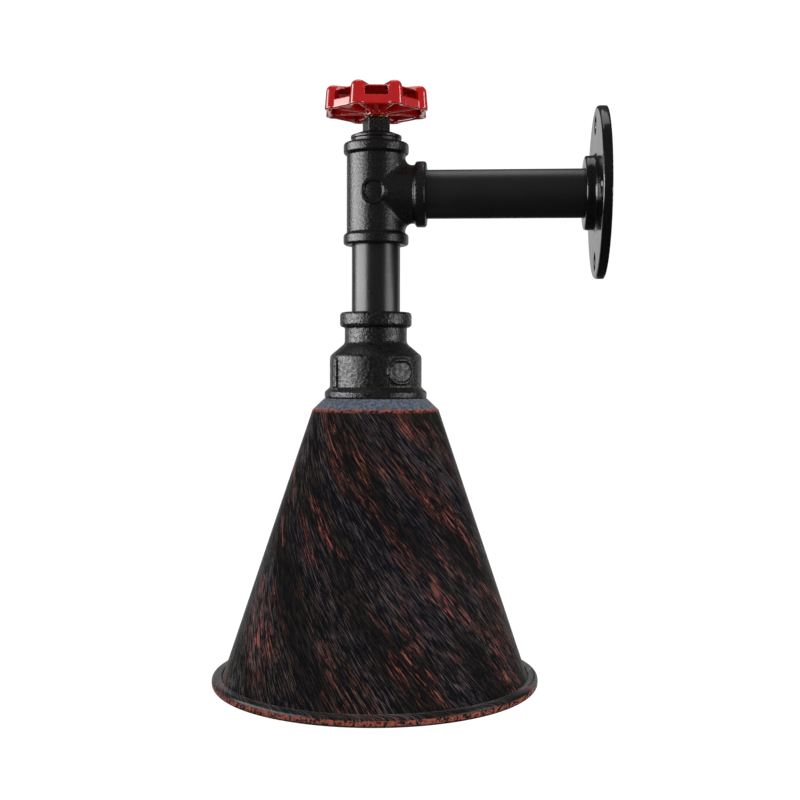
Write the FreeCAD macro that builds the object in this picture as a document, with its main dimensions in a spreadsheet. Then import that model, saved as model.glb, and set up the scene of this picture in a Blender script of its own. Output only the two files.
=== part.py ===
import FreeCAD, Part
import math
import os
import Sketcher

# Wall lamp made of water-pipe fittings, in millimetres.
# The origin is the centre of the flange's back face, on the wall. +Y points into the wall, +Z up.
# The arm runs along Y. The column, with its handwheel above and its shade below, stands parallel to Z.

DRIVING_SIZES = {
    # Layout and pipe
    "column_reach": 125.7,
    "pipe_across": 26.9,
    "pipe_wall": 2.6,
    "thread_gap": 0.05,
    "thread_grip": 13.0,
    "fitting_wall": 2.85,
    # Wall flange
    "flange_across": 93.8,
    "flange_plate": 5.2,
    "flange_boss_wall": 6.75,
    "flange_depth": 11.3,
    "flange_root_round": 2.2,
    "flange_rim_round": 1.2,
    "flange_bolt_circle": 74.8,
    "flange_bolt_across": 5.5,
    "flange_sink_across": 10.8,
    "arm_setback": 1.5,
    # Banded tee
    "tee_neck_step": 0.25,
    "tee_neck_flat": 1.45,
    "tee_collar_rise": 1.75,
    "tee_collar_length": 6.4,
    "tee_collar_round": 1.6,
    "tee_corner_round": 4.0,
    "socket_spare": 2.0,
    "tee_socket_step": 2.0,
    "boss_ring_across": 14.2,
    "boss_ring_width": 1.6,
    "boss_ring_rise": 0.8,
    # Square-headed plug
    "plug_thread_show": 2.4,
    "plug_shoulder_rise": 0.7,
    "plug_shoulder": 1.6,
    "plug_slope": 1.8,
    "plug_slope_out": 3.2,
    "plug_head": 12.4,
    "plug_head_height": 8.4,
    "plug_head_round": 0.6,
    "plug_head_turn": 22.3,
    "plug_wall": 3.05,
    "plug_roof_drop": 1.5,
    # Spindle, its bush and the handwheel's fixings
    "spindle_across": 6.0,
    "running_gap": 0.05,
    "spindle_square": 4.2,
    "bush_wall": 0.95,
    "bush_length": 5.0,
    "bush_flange_rise": 1.2,
    "bush_flange": 0.6,
    "wheel_lift": 0.2,
    "wheel_thread_across": 4.0,
    "wheel_washer_across": 12.0,
    "wheel_washer": 1.0,
    "wheel_nut_flats": 7.0,
    "wheel_nut": 3.2,
    "wheel_thread_end": 1.0,
    # Handwheel
    "wheel_flats": 54.0,
    "wheel_skirt_lift": 1.4,
    "wheel_height": 11.0,
    "wheel_wall": 1.8,
    "wheel_draft": 5.0,
    "wheel_bore_lean": 1.0,
    "wheel_shoulder_round": 3.2,
    "lobe_far_circle": 25.2,
    "lobe_near_circle": 19.5,
    "lobe_across": 10.0,
    "lobe_wall": 2.3,
    "lobe_rise": 2.2,
    "lobe_top_round": 3.2,
    "wheel_view_turn": 27.8,
    "window_width": 12.2,
    "window_height": 4.8,
    "window_roof": 1.2,
    "wheel_rib": 1.8,
    "wheel_rib_lift": 1.0,
    "wheel_hub_across": 13.0,
    "wheel_hub_height": 10.4,
    "wheel_dish_across": 26.0,
    # Rotary switch inside the tee
    "switch_play": 1.6,
    "switch_height": 11.5,
    "switch_bushing_wall": 1.55,
    "switch_bushing": 5.5,
    "switch_wall": 2.0,
    "switch_base": 1.6,
    "rotor_play": 0.5,
    "rotor_height": 5.0,
    "rotor_lift": 0.4,
    "bridge_length": 11.0,
    "bridge_width": 3.0,
    "bridge_thickness": 0.6,
    "terminal_spread": 5.0,
    "terminal_width": 3.6,
    "terminal_height": 5.5,
    "terminal_screw_across": 2.4,
    "terminal_screw_head": 1.2,
    # Drop pipe and bell reducer
    "drop_show": 37.1,
    "reducer_collar_wall": 6.45,
    "reducer_collar": 8.3,
    "reducer_collar_round": 1.8,
    "reducer_neck_wall": 3.8,
    "reducer_neck": 8.9,
    "reducer_slope": 7.0,
    "reducer_bell_wall": 3.6,
    "reducer_bell": 17.4,
    "reducer_neck_round": 3.0,
    "reducer_bell_round": 3.6,
    "reducer_band_slope": 2.6,
    "reducer_band_rise": 2.9,
    "reducer_band": 3.5,
    "reducer_band_round": 0.8,
    "reducer_socket_step": 3.0,
    "reducer_throat": 4.2,
    "bell_rib_width": 3.4,
    "bell_rib_rise": 1.4,
    "bell_rib_turn": 52.0,
    "badge_length": 16.6,
    "badge_height": 13.8,
    "badge_line": 1.3,
    "badge_rise": 0.8,
    # Hanger of the lampholder
    "carrier_thickness": 1.5,
    "hanger_across": 10.0,
    "hanger_wall": 1.1,
    "hanger_stand": 1.5,
    "hanger_nut_flats": 14.0,
    "hanger_nut": 3.0,
    "tag_across": 13.6,
    "tag_thickness": 0.8,
    "tag_barrel_across": 2.8,
    "tag_barrel": 6.0,
    "tag_barrel_place": 9.3,
    # Lampholder
    "holder_neck_wall": 2.95,
    "holder_neck": 6.0,
    "holder_grip": 9.0,
    "holder_cap_wall": 2.2,
    "holder_cap_slope": 4.0,
    "holder_cap_drop": 12.0,
    "holder_cap_play": 3.6,
    "holder_lap": 6.5,
    "holder_lap_wall": 2.15,
    "holder_ledge": 1.3,
    "holder_body_drop": 37.0,
    "holder_rim_round": 1.0,
    "insert_thickness": 6.3,
    "insert_gap": 0.1,
    "shell_play": 0.1,
    "shell_wall": 0.5,
    "shell_room": 1.15,
    "shell_drop": 26.0,
    "shell_lip": 2.2,
    "contact_width": 5.0,
    "contact_thickness": 0.6,
    "contact_spring": 1.9,
    "post_width": 6.0,
    "post_height": 6.0,
    "post_leg_across": 2.8,
    "neutral_leg_place": 12.1,
    "live_leg_place": 8.0,
    # Shade and the ring that holds it
    "shade_sheet": 1.0,
    "shade_hole_gap": 0.3,
    "shade_top_rise": 0.1,
    "shade_shoulder_out": 6.6,
    "shade_shoulder_drop": 6.3,
    "shade_cone_out": 49.8,
    "shade_cone_drop": 148.7,
    "shade_bead_rise": 2.0,
    "shade_bead_across": 6.0,
    "shade_trough": 0.3,
    "shade_bead_out": 5.75,
    "shade_bead_round": 2.7,
    "shade_bead_inner_round": 1.8,
    "shade_shoulder_round": 1.6,
    "ring_flange_out": 6.0,
    "ring_flange": 2.2,
    "ring_collar_wall": 2.8,
    "ring_height": 7.0,
    # Bulb
    "bulb_ball_across": 60.0,
    "bulb_ball_drop": 47.0,
    "bulb_glass": 0.8,
    "bulb_cap_across": 26.2,
    "bulb_cap_wall": 0.5,
    "bulb_cap_shoulder": 0.75,
    "bulb_cap_top": 4.0,
    "bulb_cap_length": 22.5,
    "bulb_seat_gap": 0.1,
    "bulb_tip_across": 9.2,
    "bulb_tip": 1.5,
    "bulb_neck_out": 1.3,
    "bulb_neck_drop": 12.0,
    "bulb_stem_across": 8.0,
    "bulb_stem_drop": 30.0,
    "filament_across": 1.8,
    "filament_length": 30.0,
    "filament_place": 6.0,
    "filament_gap": 1.2,
    "filament_wire": 0.6,
    # Leads
    "lead_across": 2.2,
    "lead_setback": 4.0,
    "lead_touch": 0.05,
    "sleeve_wall": 0.35,
    "sleeve_length": 8.0,
}

FLANGE_BOLT_COUNT = 4
LOBE_COUNT = 8
BELL_RIB_COUNT = 2
SQUARE_SIDE_COUNT = 4
HEXAGON_SIDE_COUNT = 6
SQUARE_CORNER_ANGLE = 45
HEXAGON_CORNER_ANGLE = 30
NEARLY_NOTHING = 0.0001
SAME_SIZE = 0.001
SAME_SURFACE = 0.05
UNEVEN_TUBE = 0.01

doc = FreeCAD.newDocument("wall_lamp")
sheet = doc.addObject("Spreadsheet::Sheet", "Sizes")


class Size:
    """A size with its number and with the formula on the sheet that gives the same number."""

    def __init__(self, number, formula):
        self.number = number
        self.formula = formula

    def __add__(self, other):
        other = as_size(other)
        return Size(self.number + other.number, f"({self.formula} + {other.formula})")

    def __radd__(self, other):
        return as_size(other) + self

    def __sub__(self, other):
        other = as_size(other)
        return Size(self.number - other.number, f"({self.formula} - {other.formula})")

    def __rsub__(self, other):
        return as_size(other) - self

    def __mul__(self, other):
        other = as_size(other)
        return Size(self.number * other.number, f"({self.formula} * {other.formula})")

    def __rmul__(self, other):
        return as_size(other) * self

    def __truediv__(self, other):
        other = as_size(other)
        return Size(self.number / other.number, f"({self.formula} / {other.formula})")

    def __neg__(self):
        return Size(-self.number, f"(-{self.formula})")


def as_size(value):
    if isinstance(value, Size):
        return value
    return Size(float(value), f"({value:.9f})")


class NamedSizes:
    """The driving sizes, each written to a cell of the sheet under its own name."""

    def __init__(self, values):
        for row, (name, number) in enumerate(values.items(), start=1):
            sheet.set(f"A{row}", name.replace("_", " "))
            sheet.set(f"B{row}", str(number))
            sheet.setAlias(f"B{row}", name)
            setattr(self, name, Size(number, f"Sizes.{name}"))


dim = NamedSizes(DRIVING_SIZES)
doc.recompute()

subparts = []


# Helpers for bodies, sketches and features

def bind(thing, path, value):
    """Sets a property from the sheet."""
    thing.setExpression(path, as_size(value).formula)


def new_body(label, axis="column"):
    """A body whose own Z is the column's axis, the arm's axis, or the object's Z at the wall."""
    body = doc.addObject("PartDesign::Body", label)
    body.Label = label
    if axis == "arm":
        quarter_turn = FreeCAD.Rotation(FreeCAD.Vector(1, 0, 0), -90)
        body.Placement = FreeCAD.Placement(FreeCAD.Vector(), quarter_turn)
    if axis == "column":
        body.Placement = FreeCAD.Placement(FreeCAD.Vector(), FreeCAD.Rotation())
        bind(body, "Placement.Base.y", -dim.column_reach)
    subparts.append(body)
    return body


def turn_body(body, angle):
    """Turns a column body about its own axis by an angle of the sheet, in degrees."""
    body.Placement.Rotation = FreeCAD.Rotation(FreeCAD.Vector(0, 0, 1), angle.number)
    bind(body, "Placement.Rotation.Angle", angle)


def new_sketch(body, plane_role, lift=None):
    sketch = body.newObject("Sketcher::SketchObject", body.Label + "_sketch")
    plane = [item for item in body.Origin.OriginFeatures if item.Role == plane_role][0]
    sketch.AttachmentSupport = [(plane, "")]
    sketch.MapMode = "FlatFace"
    if lift is not None:
        bind(sketch, "AttachmentOffset.Base.z", lift)
    return sketch


def pin_point(sketch, shape_index, point_index, across, up):
    """Ties a point of a sketch to its distances from the sketch's origin."""
    places = (("DistanceX", as_size(across), -2), ("DistanceY", as_size(up), -1))
    for kind, distance, axis_index in places:
        if abs(distance.number) < NEARLY_NOTHING:
            sketch.addConstraint(Sketcher.Constraint("PointOnObject", shape_index, point_index, axis_index))
            continue
        rule = Sketcher.Constraint(kind, -1, 1, shape_index, point_index, distance.number)
        number = sketch.addConstraint(rule)
        bind(sketch, f"Constraints[{number}]", distance)


def draw_outline(sketch, corners):
    """Draws a closed outline of straight lines through corners given as (across, up)."""
    first = sketch.GeometryCount
    points = [FreeCAD.Vector(as_size(a).number, as_size(u).number, 0) for a, u in corners]
    count = len(corners)
    for index in range(count):
        sketch.addGeometry(Part.LineSegment(points[index], points[(index + 1) % count]))
    for index in range(count):
        after = first + (index + 1) % count
        sketch.addConstraint(Sketcher.Constraint("Coincident", first + index, 2, after, 1))
    for index, (across, up) in enumerate(corners):
        pin_point(sketch, first + index, 1, across, up)


def draw_circle(sketch, across, up, radius):
    centre = FreeCAD.Vector(as_size(across).number, as_size(up).number, 0)
    shape = sketch.addGeometry(Part.Circle(centre, FreeCAD.Vector(0, 0, 1), radius.number))
    pin_point(sketch, shape, 3, across, up)
    number = sketch.addConstraint(Sketcher.Constraint("Radius", shape, radius.number))
    bind(sketch, f"Constraints[{number}]", radius)


def draw_polygon(sketch, sides, flats, first_angle):
    """Draws a regular polygon about the origin, with a size across its flats."""
    corner_radius = flats / (2 * math.cos(math.pi / sides))
    corners = []
    for index in range(sides):
        angle = math.radians(first_angle + 360 * index / sides)
        corners.append((corner_radius * math.cos(angle), corner_radius * math.sin(angle)))
    draw_outline(sketch, corners)


def draw_square(sketch, flats):
    draw_polygon(sketch, SQUARE_SIDE_COUNT, flats, SQUARE_CORNER_ANGLE)


def draw_hexagon(sketch, flats):
    draw_polygon(sketch, HEXAGON_SIDE_COUNT, flats, HEXAGON_CORNER_ANGLE)


def draw_slot(sketch, near, far, radius, angle, level):
    """Draws a slot with round ends, from near to far along a line through the sketch's origin or above it."""
    toward = FreeCAD.Vector(math.cos(math.radians(angle)), math.sin(math.radians(angle)), 0)

    def place(out, side):
        across = out * toward.x - side * toward.y
        up = out * toward.y + side * toward.x + level
        return across, up

    def spot(point):
        return FreeCAD.Vector(point[0].number, point[1].number, 0)

    middle = Size(0.0, "0")
    corners = [place(near, -radius), place(far, -radius), place(far, radius), place(near, radius)]
    first, second, third, fourth = [spot(corner) for corner in corners]
    low_side = sketch.addGeometry(Part.LineSegment(first, second))
    far_end = sketch.addGeometry(Part.Arc(second, spot(place(far + radius, middle)), third))
    high_side = sketch.addGeometry(Part.LineSegment(third, fourth))
    near_end = sketch.addGeometry(Part.Arc(fourth, spot(place(near - radius, middle)), first))
    for before, after in ((low_side, far_end), (high_side, near_end)):
        sketch.addConstraint(Sketcher.Constraint("Tangent", before, 2, after, 1))
    for before, after in ((far_end, high_side), (near_end, low_side)):
        sketch.addConstraint(Sketcher.Constraint("Coincident", before, 2, after, 1))
    for shape, point, corner in ((low_side, 1, 0), (low_side, 2, 1), (high_side, 1, 2), (high_side, 2, 3)):
        pin_point(sketch, shape, point, *corners[corner])


def draw_box(sketch, low, high):
    (left, bottom), (right, top) = low, high
    draw_outline(sketch, [(left, bottom), (right, bottom), (right, top), (left, top)])


def draw_turned_box(sketch, near, far, width, angle):
    """Draws a box from near to far along a line that leaves the sketch's origin at an angle."""
    cosine = math.cos(math.radians(angle))
    sine = math.sin(math.radians(angle))
    corners = []
    for out, side in ((near, -1), (far, -1), (far, 1), (near, 1)):
        half_width = side * width / 2
        corners.append((out * cosine - half_width * sine, out * sine + half_width * cosine))
    draw_outline(sketch, corners)


def turn_feature(body, kind, corners, reference="V_Axis", plane="XZ_Plane"):
    """Revolves an outline of (across, up) corners about an axis of its sketch, as solid or as a groove."""
    sketch = new_sketch(body, plane)
    draw_outline(sketch, corners)
    feature = body.newObject(f"PartDesign::{kind}", body.Label + "_turn")
    feature.Profile = sketch
    feature.ReferenceAxis = (sketch, [reference])
    feature.Angle = 360
    sketch.Visibility = False
    return feature


def turned(label, corners, axis="column"):
    """A body turned from one outline of (radius, height) corners."""
    body = new_body(label, axis)
    turn_feature(body, "Revolution", corners)
    return body


def ring(inner, outer, low, high):
    """Corners of a plain ring."""
    return [(inner, low), (outer, low), (outer, high), (inner, high)]


def pad(body, sketch, length, reverse=False, taper=None):
    feature = body.newObject("PartDesign::Pad", body.Label + "_pad")
    feature.Profile = sketch
    feature.Length = length.number
    bind(feature, "Length", length)
    feature.Reversed = reverse
    if taper is not None:
        feature.TaperAngle = -taper.number
        bind(feature, "TaperAngle", -taper)
    sketch.Visibility = False
    return feature


def pocket(body, sketch, length, upward=False):
    """Cuts a sketch's outline out of the body, and checks that it took something away."""
    doc.recompute()
    before = body.Tip.Shape.Volume
    feature = body.newObject("PartDesign::Pocket", body.Label + "_pocket")
    feature.Profile = sketch
    feature.Length = length.number
    bind(feature, "Length", length)
    feature.Reversed = upward
    sketch.Visibility = False
    doc.recompute()
    if feature.Shape.Volume > before - NEARLY_NOTHING:
        raise RuntimeError(f"{feature.Label} cuts nothing")
    return feature


def circle_edges(shape, radius, height):
    """Names of the circular edges about the body's axis with a radius and a height."""
    names = []
    for number, edge in enumerate(shape.Edges, start=1):
        curve = edge.Curve
        if not isinstance(curve, Part.Circle):
            continue
        same_radius = abs(curve.Radius - as_size(radius).number) < SAME_SIZE
        same_height = abs(curve.Center.z - as_size(height).number) < SAME_SIZE
        on_axis = math.hypot(curve.Center.x, curve.Center.y) < SAME_SIZE
        if same_radius and same_height and on_axis:
            names.append(f"Edge{number}")
    return names


def soften(body, round_size, rings=None, edges=None):
    """Rounds edges of the body, found as rings of (radius, height) or given by a rule."""
    doc.recompute()
    base = body.Tip
    names = []
    for radius, height in rings or []:
        found = circle_edges(base.Shape, radius, height)
        if not found:
            place = as_size(radius).number, as_size(height).number
            raise RuntimeError(f"{body.Label} has no edge at {place}")
        names += found
    if edges is not None:
        names += [f"Edge{n}" for n, edge in enumerate(base.Shape.Edges, start=1) if edges(edge)]
    fillet = body.newObject("PartDesign::Fillet", body.Label + "_round")
    fillet.Base = (base, names)
    fillet.Radius = round_size.number
    bind(fillet, "Radius", round_size)
    doc.recompute()
    return fillet


def repeat(body, feature, count):
    """Repeats a feature round the body's own Z axis."""
    pattern = body.newObject("PartDesign::PolarPattern", body.Label + "_pattern")
    pattern.Originals = [feature]
    axis = [item for item in body.Origin.OriginFeatures if item.Role == "Z_Axis"][0]
    pattern.Axis = (axis, [""])
    pattern.Angle = 360
    pattern.Occurrences = count
    body.Tip = pattern
    doc.recompute()
    return pattern


# Shared places along the column, worked out from the fittings

pipe_radius = dim.pipe_across / 2
pipe_bore = pipe_radius - dim.pipe_wall
socket_radius = pipe_radius + dim.thread_gap
socket_depth = dim.thread_grip + dim.socket_spare
tee_radius = socket_radius + dim.fitting_wall
tee_reach = tee_radius + dim.tee_corner_round + dim.tee_neck_flat + dim.tee_collar_length

reducer_top = -(tee_reach + dim.drop_show)
collar_foot = reducer_top - dim.reducer_collar
neck_foot = collar_foot - dim.reducer_neck
slope_foot = neck_foot - dim.reducer_slope
bell_foot = slope_foot - dim.reducer_bell
band_top = bell_foot - dim.reducer_band_slope
reducer_foot = band_top - dim.reducer_band

carrier_top = reducer_top - dim.thread_grip
carrier_foot = carrier_top - dim.carrier_thickness
tag_top = carrier_top + dim.tag_thickness
upper_nut_top = tag_top + dim.hanger_nut
hanger_top = upper_nut_top + dim.hanger_stand
hanger_radius = dim.hanger_across / 2
hanger_bore = hanger_radius - dim.hanger_wall
hanger_hole = hanger_radius + dim.thread_gap

cap_foot = reducer_foot - dim.insert_gap
cap_shoulder = cap_foot + dim.holder_cap_drop
cap_roof = cap_shoulder + dim.holder_cap_slope
cap_top = cap_roof + dim.holder_neck
hanger_foot = cap_top - dim.holder_grip
insert_foot = cap_foot - dim.insert_thickness
strip_foot = insert_foot - dim.contact_thickness
contact_foot = strip_foot - dim.contact_spring

tip_top = contact_foot - dim.bulb_seat_gap
tip_foot = tip_top - dim.bulb_tip
bulb_cap_high = tip_foot - dim.bulb_cap_top
bulb_cap_low = bulb_cap_high - dim.bulb_cap_length
bulb_cap_radius = dim.bulb_cap_across / 2
bulb_cap_bore = bulb_cap_radius - dim.bulb_cap_wall

shell_inner = bulb_cap_radius + dim.shell_play
shell_outer = shell_inner + dim.shell_wall
holder_bore = shell_outer + dim.shell_room
cap_bore = holder_bore + dim.holder_ledge
cap_radius = cap_bore + dim.holder_cap_wall
holder_lap = cap_radius + dim.thread_gap
holder_radius = holder_lap + dim.holder_lap_wall
bell_bore = cap_radius + dim.holder_cap_play
bell_radius = bell_bore + dim.reducer_bell_wall
band_radius = bell_radius + dim.reducer_band_rise


# Wall flange, with a plain bore for the arm and four countersunk screw holes

flange_boss = socket_radius + dim.flange_boss_wall
flange_radius = dim.flange_across / 2
flange = turned("wall_flange", [
    (socket_radius, -dim.flange_depth),
    (flange_boss, -dim.flange_depth),
    (flange_boss, -dim.flange_plate),
    (flange_radius, -dim.flange_plate),
    (flange_radius, 0),
    (socket_radius, 0),
], "arm")
soften(flange, dim.flange_root_round, [(flange_boss, -dim.flange_plate)])
soften(flange, dim.flange_rim_round, [(flange_radius, -dim.flange_plate), (flange_boss, -dim.flange_depth)])

hole_radius = dim.flange_bolt_across / 2
sink_radius = dim.flange_sink_across / 2
sink_depth = sink_radius - hole_radius
hole_place = dim.flange_bolt_circle / 2
hole_sketch = new_sketch(flange, "XZ_Plane")
draw_outline(hole_sketch, [
    (hole_place, -dim.flange_plate),
    (hole_place + sink_radius, -dim.flange_plate),
    (hole_place + hole_radius, sink_depth - dim.flange_plate),
    (hole_place + hole_radius, 0),
    (hole_place, 0),
])
doc.recompute()
plate_volume = flange.Tip.Shape.Volume
flange_hole = flange.newObject("PartDesign::Groove", "wall_flange_hole")
flange_hole.Profile = hole_sketch
flange_hole.ReferenceAxis = (hole_sketch, ["Edge5"])
flange_hole.Angle = 360
hole_sketch.Visibility = False
repeat(flange, flange_hole, FLANGE_BOLT_COUNT)
if flange.Tip.Shape.Volume > plate_volume - NEARLY_NOTHING:
    raise RuntimeError("the flange has no holes")


# Arm: the pipe between the flange and the tee

arm_start = tee_reach - dim.thread_grip - dim.column_reach
arm_end = -dim.arm_setback
turned("arm_pipe", ring(pipe_bore, pipe_radius, arm_start, arm_end), "arm")


# Banded tee: a run along the column, a branch towards the wall, three collars and a raised ring

tee_neck = tee_radius - dim.tee_neck_step
tee_collar = tee_radius + dim.tee_collar_rise
collar_inner = tee_reach - dim.tee_collar_length
tee = new_body("pipe_tee")
turn_feature(tee, "Revolution", [
    (0, -tee_reach),
    (tee_collar, -tee_reach),
    (tee_collar, -collar_inner),
    (tee_radius, -collar_inner),
    (tee_radius, collar_inner),
    (tee_collar, collar_inner),
    (tee_collar, tee_reach),
    (0, tee_reach),
])
turn_feature(tee, "Revolution", [
    (0, 0),
    (tee_reach, 0),
    (tee_reach, tee_collar),
    (collar_inner, tee_collar),
    (collar_inner, tee_neck),
    (0, tee_neck),
], "H_Axis", "YZ_Plane")


def is_tee_corner(edge):
    """Edges where the branch meets the run."""
    middle = edge.valueAt((edge.FirstParameter + edge.LastParameter) / 2)
    near_run = abs(math.hypot(middle.x, middle.y) - tee_radius.number) < SAME_SURFACE
    near_neck = abs(math.hypot(middle.x, middle.z) - tee_neck.number) < SAME_SURFACE
    return near_run and near_neck and not isinstance(edge.Curve, Part.Circle)


soften(tee, dim.tee_corner_round, edges=is_tee_corner)


def is_collar_edge(edge):
    """Outer edges of the three collars."""
    if not isinstance(edge.Curve, Part.Circle):
        return False
    return abs(edge.Curve.Radius - tee_collar.number) < SAME_SIZE


soften(tee, dim.tee_collar_round, edges=is_collar_edge)

tee_bore = socket_radius - dim.tee_socket_step
socket_floor = tee_reach - socket_depth
bore_corners = [
    (0, -tee_reach),
    (socket_radius, -tee_reach),
    (socket_radius, -socket_floor),
    (tee_bore, -socket_floor),
    (tee_bore, socket_floor),
    (socket_radius, socket_floor),
    (socket_radius, tee_reach),
    (0, tee_reach),
]
turn_feature(tee, "Groove", bore_corners)
turn_feature(tee, "Groove", [
    (0, 0),
    (tee_reach, 0),
    (tee_reach, socket_radius),
    (socket_floor, socket_radius),
    (socket_floor, tee_bore - dim.tee_neck_step),
    (0, tee_bore - dim.tee_neck_step),
], "H_Axis", "YZ_Plane")

boss_base = (tee_bore + tee_radius) / 2
boss_sketch = new_sketch(tee, "YZ_Plane", boss_base)
draw_circle(boss_sketch, 0, 0, dim.boss_ring_across / 2)
draw_circle(boss_sketch, 0, 0, dim.boss_ring_across / 2 - dim.boss_ring_width)
boss_ring = pad(tee, boss_sketch, tee_radius + dim.boss_ring_rise - boss_base)
boss_ring.Refine = False


# Plug: a threaded plug with a bevelled shoulder and a square head, bored for the spindle

plug_foot = tee_reach - dim.thread_grip
shoulder_low = tee_reach + dim.plug_thread_show
shoulder_high = shoulder_low + dim.plug_shoulder
slope_top = shoulder_high + dim.plug_slope
plug_top = slope_top + dim.plug_head_height
shoulder_radius = pipe_radius + dim.plug_shoulder_rise
slope_radius = dim.plug_head / 2 + dim.plug_slope_out
spindle_radius = dim.spindle_across / 2
spindle_hole = spindle_radius + dim.running_gap
bushing_radius = spindle_hole + dim.switch_bushing_wall
bushing_hole = bushing_radius + dim.thread_gap
cavity_radius = pipe_radius - dim.plug_wall
cavity_top = tee_reach - dim.plug_roof_drop
bushing_top = cavity_top + dim.switch_bushing
bush_radius = spindle_hole + dim.bush_wall
bush_hole = bush_radius + dim.thread_gap
bush_foot = plug_top - dim.bush_length

plug = new_body("square_plug")
turn_body(plug, dim.plug_head_turn)
turn_feature(plug, "Revolution", [
    (0, plug_foot),
    (pipe_radius, plug_foot),
    (pipe_radius, shoulder_low),
    (shoulder_radius, shoulder_low),
    (shoulder_radius, shoulder_high),
    (slope_radius, slope_top),
    (0, slope_top),
])
head_sketch = new_sketch(plug, "XY_Plane", shoulder_high)
draw_square(head_sketch, dim.plug_head)
pad(plug, head_sketch, dim.plug_slope + dim.plug_head_height)


def is_head_edge(edge):
    """The four upright and four top edges of the square head."""
    return isinstance(edge.Curve, Part.Line) and edge.BoundBox.ZMax > plug_top.number - NEARLY_NOTHING


soften(plug, dim.plug_head_round, edges=is_head_edge)
turn_feature(plug, "Groove", [
    (0, plug_foot),
    (cavity_radius, plug_foot),
    (cavity_radius, cavity_top),
    (bushing_hole, cavity_top),
    (bushing_hole, bushing_top),
    (spindle_hole, bushing_top),
    (spindle_hole, bush_foot),
    (bush_hole, bush_foot),
    (bush_hole, plug_top),
    (0, plug_top),
])


# Spindle bush, pressed into the top of the square head

bush_flange_radius = bush_hole + dim.bush_flange_rise
bush_top = plug_top + dim.bush_flange
turned("spindle_bush", [
    (spindle_hole, bush_foot),
    (bush_radius, bush_foot),
    (bush_radius, plug_top),
    (bush_flange_radius, plug_top),
    (bush_flange_radius, bush_top),
    (spindle_hole, bush_top),
])


# Spindle: round through the plug, square in the handwheel, threaded at its tip

hub_foot = bush_top + dim.wheel_lift
hub_top = hub_foot + dim.wheel_hub_height
washer_top = hub_top + dim.wheel_washer
nut_top = washer_top + dim.wheel_nut
spindle_top = nut_top + dim.wheel_thread_end
switch_foot = cavity_top - dim.switch_height
chamber_foot = switch_foot + dim.switch_base
bridge_foot = chamber_foot + dim.rotor_lift
rotor_foot = bridge_foot + dim.bridge_thickness
rotor_top = rotor_foot + dim.rotor_height
wheel_thread = dim.wheel_thread_across / 2
wheel_thread_hole = wheel_thread + dim.thread_gap

spindle = turned("spindle", [
    (0, rotor_foot),
    (spindle_radius, rotor_foot),
    (spindle_radius, hub_foot),
    (wheel_thread, hub_foot),
    (wheel_thread, spindle_top),
    (0, spindle_top),
])
turn_body(spindle, dim.wheel_view_turn)
square_sketch = new_sketch(spindle, "XY_Plane", hub_foot)
draw_square(square_sketch, dim.spindle_square)
pad(spindle, square_sketch, dim.wheel_hub_height)


# Handwheel: a hollow cast cup with eight finger lobes, windows between them, ribs and a hub

skirt_foot = hub_foot + dim.wheel_skirt_lift
roof_top = skirt_foot + dim.wheel_height
roof_foot = roof_top - dim.wheel_wall
skirt_bore = dim.wheel_flats / 2 - dim.wheel_wall
dish_depth = roof_top - hub_top
dish_radius = dim.wheel_dish_across / 2
dish_floor = dish_radius - dish_depth
lobe_radius = dim.lobe_across / 2
lobe_top = roof_top + dim.lobe_rise
window_angle = 180 / LOBE_COUNT

wheel = new_body("handwheel")
turn_body(wheel, dim.wheel_view_turn)
skirt_sketch = new_sketch(wheel, "XY_Plane", skirt_foot)
draw_polygon(skirt_sketch, LOBE_COUNT, dim.wheel_flats, 0)
pad(wheel, skirt_sketch, dim.wheel_height, taper=dim.wheel_draft)


def is_roof_edge(edge):
    return edge.BoundBox.ZMin > roof_top.number - NEARLY_NOTHING


soften(wheel, dim.wheel_shoulder_round, edges=is_roof_edge)

lobe_sketch = new_sketch(wheel, "XY_Plane", skirt_foot)
draw_slot(lobe_sketch, dim.lobe_near_circle, dim.lobe_far_circle, lobe_radius, 0, 0)
lobe = pad(wheel, lobe_sketch, lobe_top - skirt_foot, taper=dim.wheel_draft)
repeat(wheel, lobe, LOBE_COUNT)


def is_lobe_top(edge):
    return edge.BoundBox.ZMin > lobe_top.number - NEARLY_NOTHING


soften(wheel, dim.lobe_top_round, edges=is_lobe_top)

turn_feature(wheel, "Groove", [
    (0, skirt_foot),
    (skirt_bore, skirt_foot),
    (skirt_bore - dim.wheel_bore_lean, roof_foot),
    (dish_radius, roof_foot),
    (dish_floor, hub_top - dim.wheel_wall),
    (0, hub_top - dim.wheel_wall),
])
hollow_sketch = new_sketch(wheel, "XY_Plane", skirt_foot)
draw_slot(hollow_sketch, dim.lobe_near_circle, dim.lobe_far_circle, lobe_radius - dim.lobe_wall, 0, 0)
lobe_hollow = pocket(wheel, hollow_sketch, lobe_top - dim.wheel_wall - skirt_foot, upward=True)
repeat(wheel, lobe_hollow, LOBE_COUNT)

window_sketch = new_sketch(wheel, "XY_Plane", roof_top - dim.window_roof)
window_near = dim.lobe_near_circle - lobe_radius / 2
window_far = dim.lobe_far_circle + lobe_radius
draw_turned_box(window_sketch, window_near, window_far, dim.window_width, window_angle)
window = pocket(wheel, window_sketch, dim.window_height)
repeat(wheel, window, LOBE_COUNT)

rib_sketch = new_sketch(wheel, "XZ_Plane", -dim.wheel_rib / 2)
rib_top = roof_top - dim.wheel_wall / 2
draw_outline(rib_sketch, [
    (0, hub_foot + dim.wheel_rib_lift),
    (dim.lobe_far_circle, skirt_foot + dim.wheel_rib_lift),
    (dim.lobe_far_circle, rib_top),
    (0, rib_top),
])
rib = pad(wheel, rib_sketch, dim.wheel_rib)
repeat(wheel, rib, LOBE_COUNT)

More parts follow.
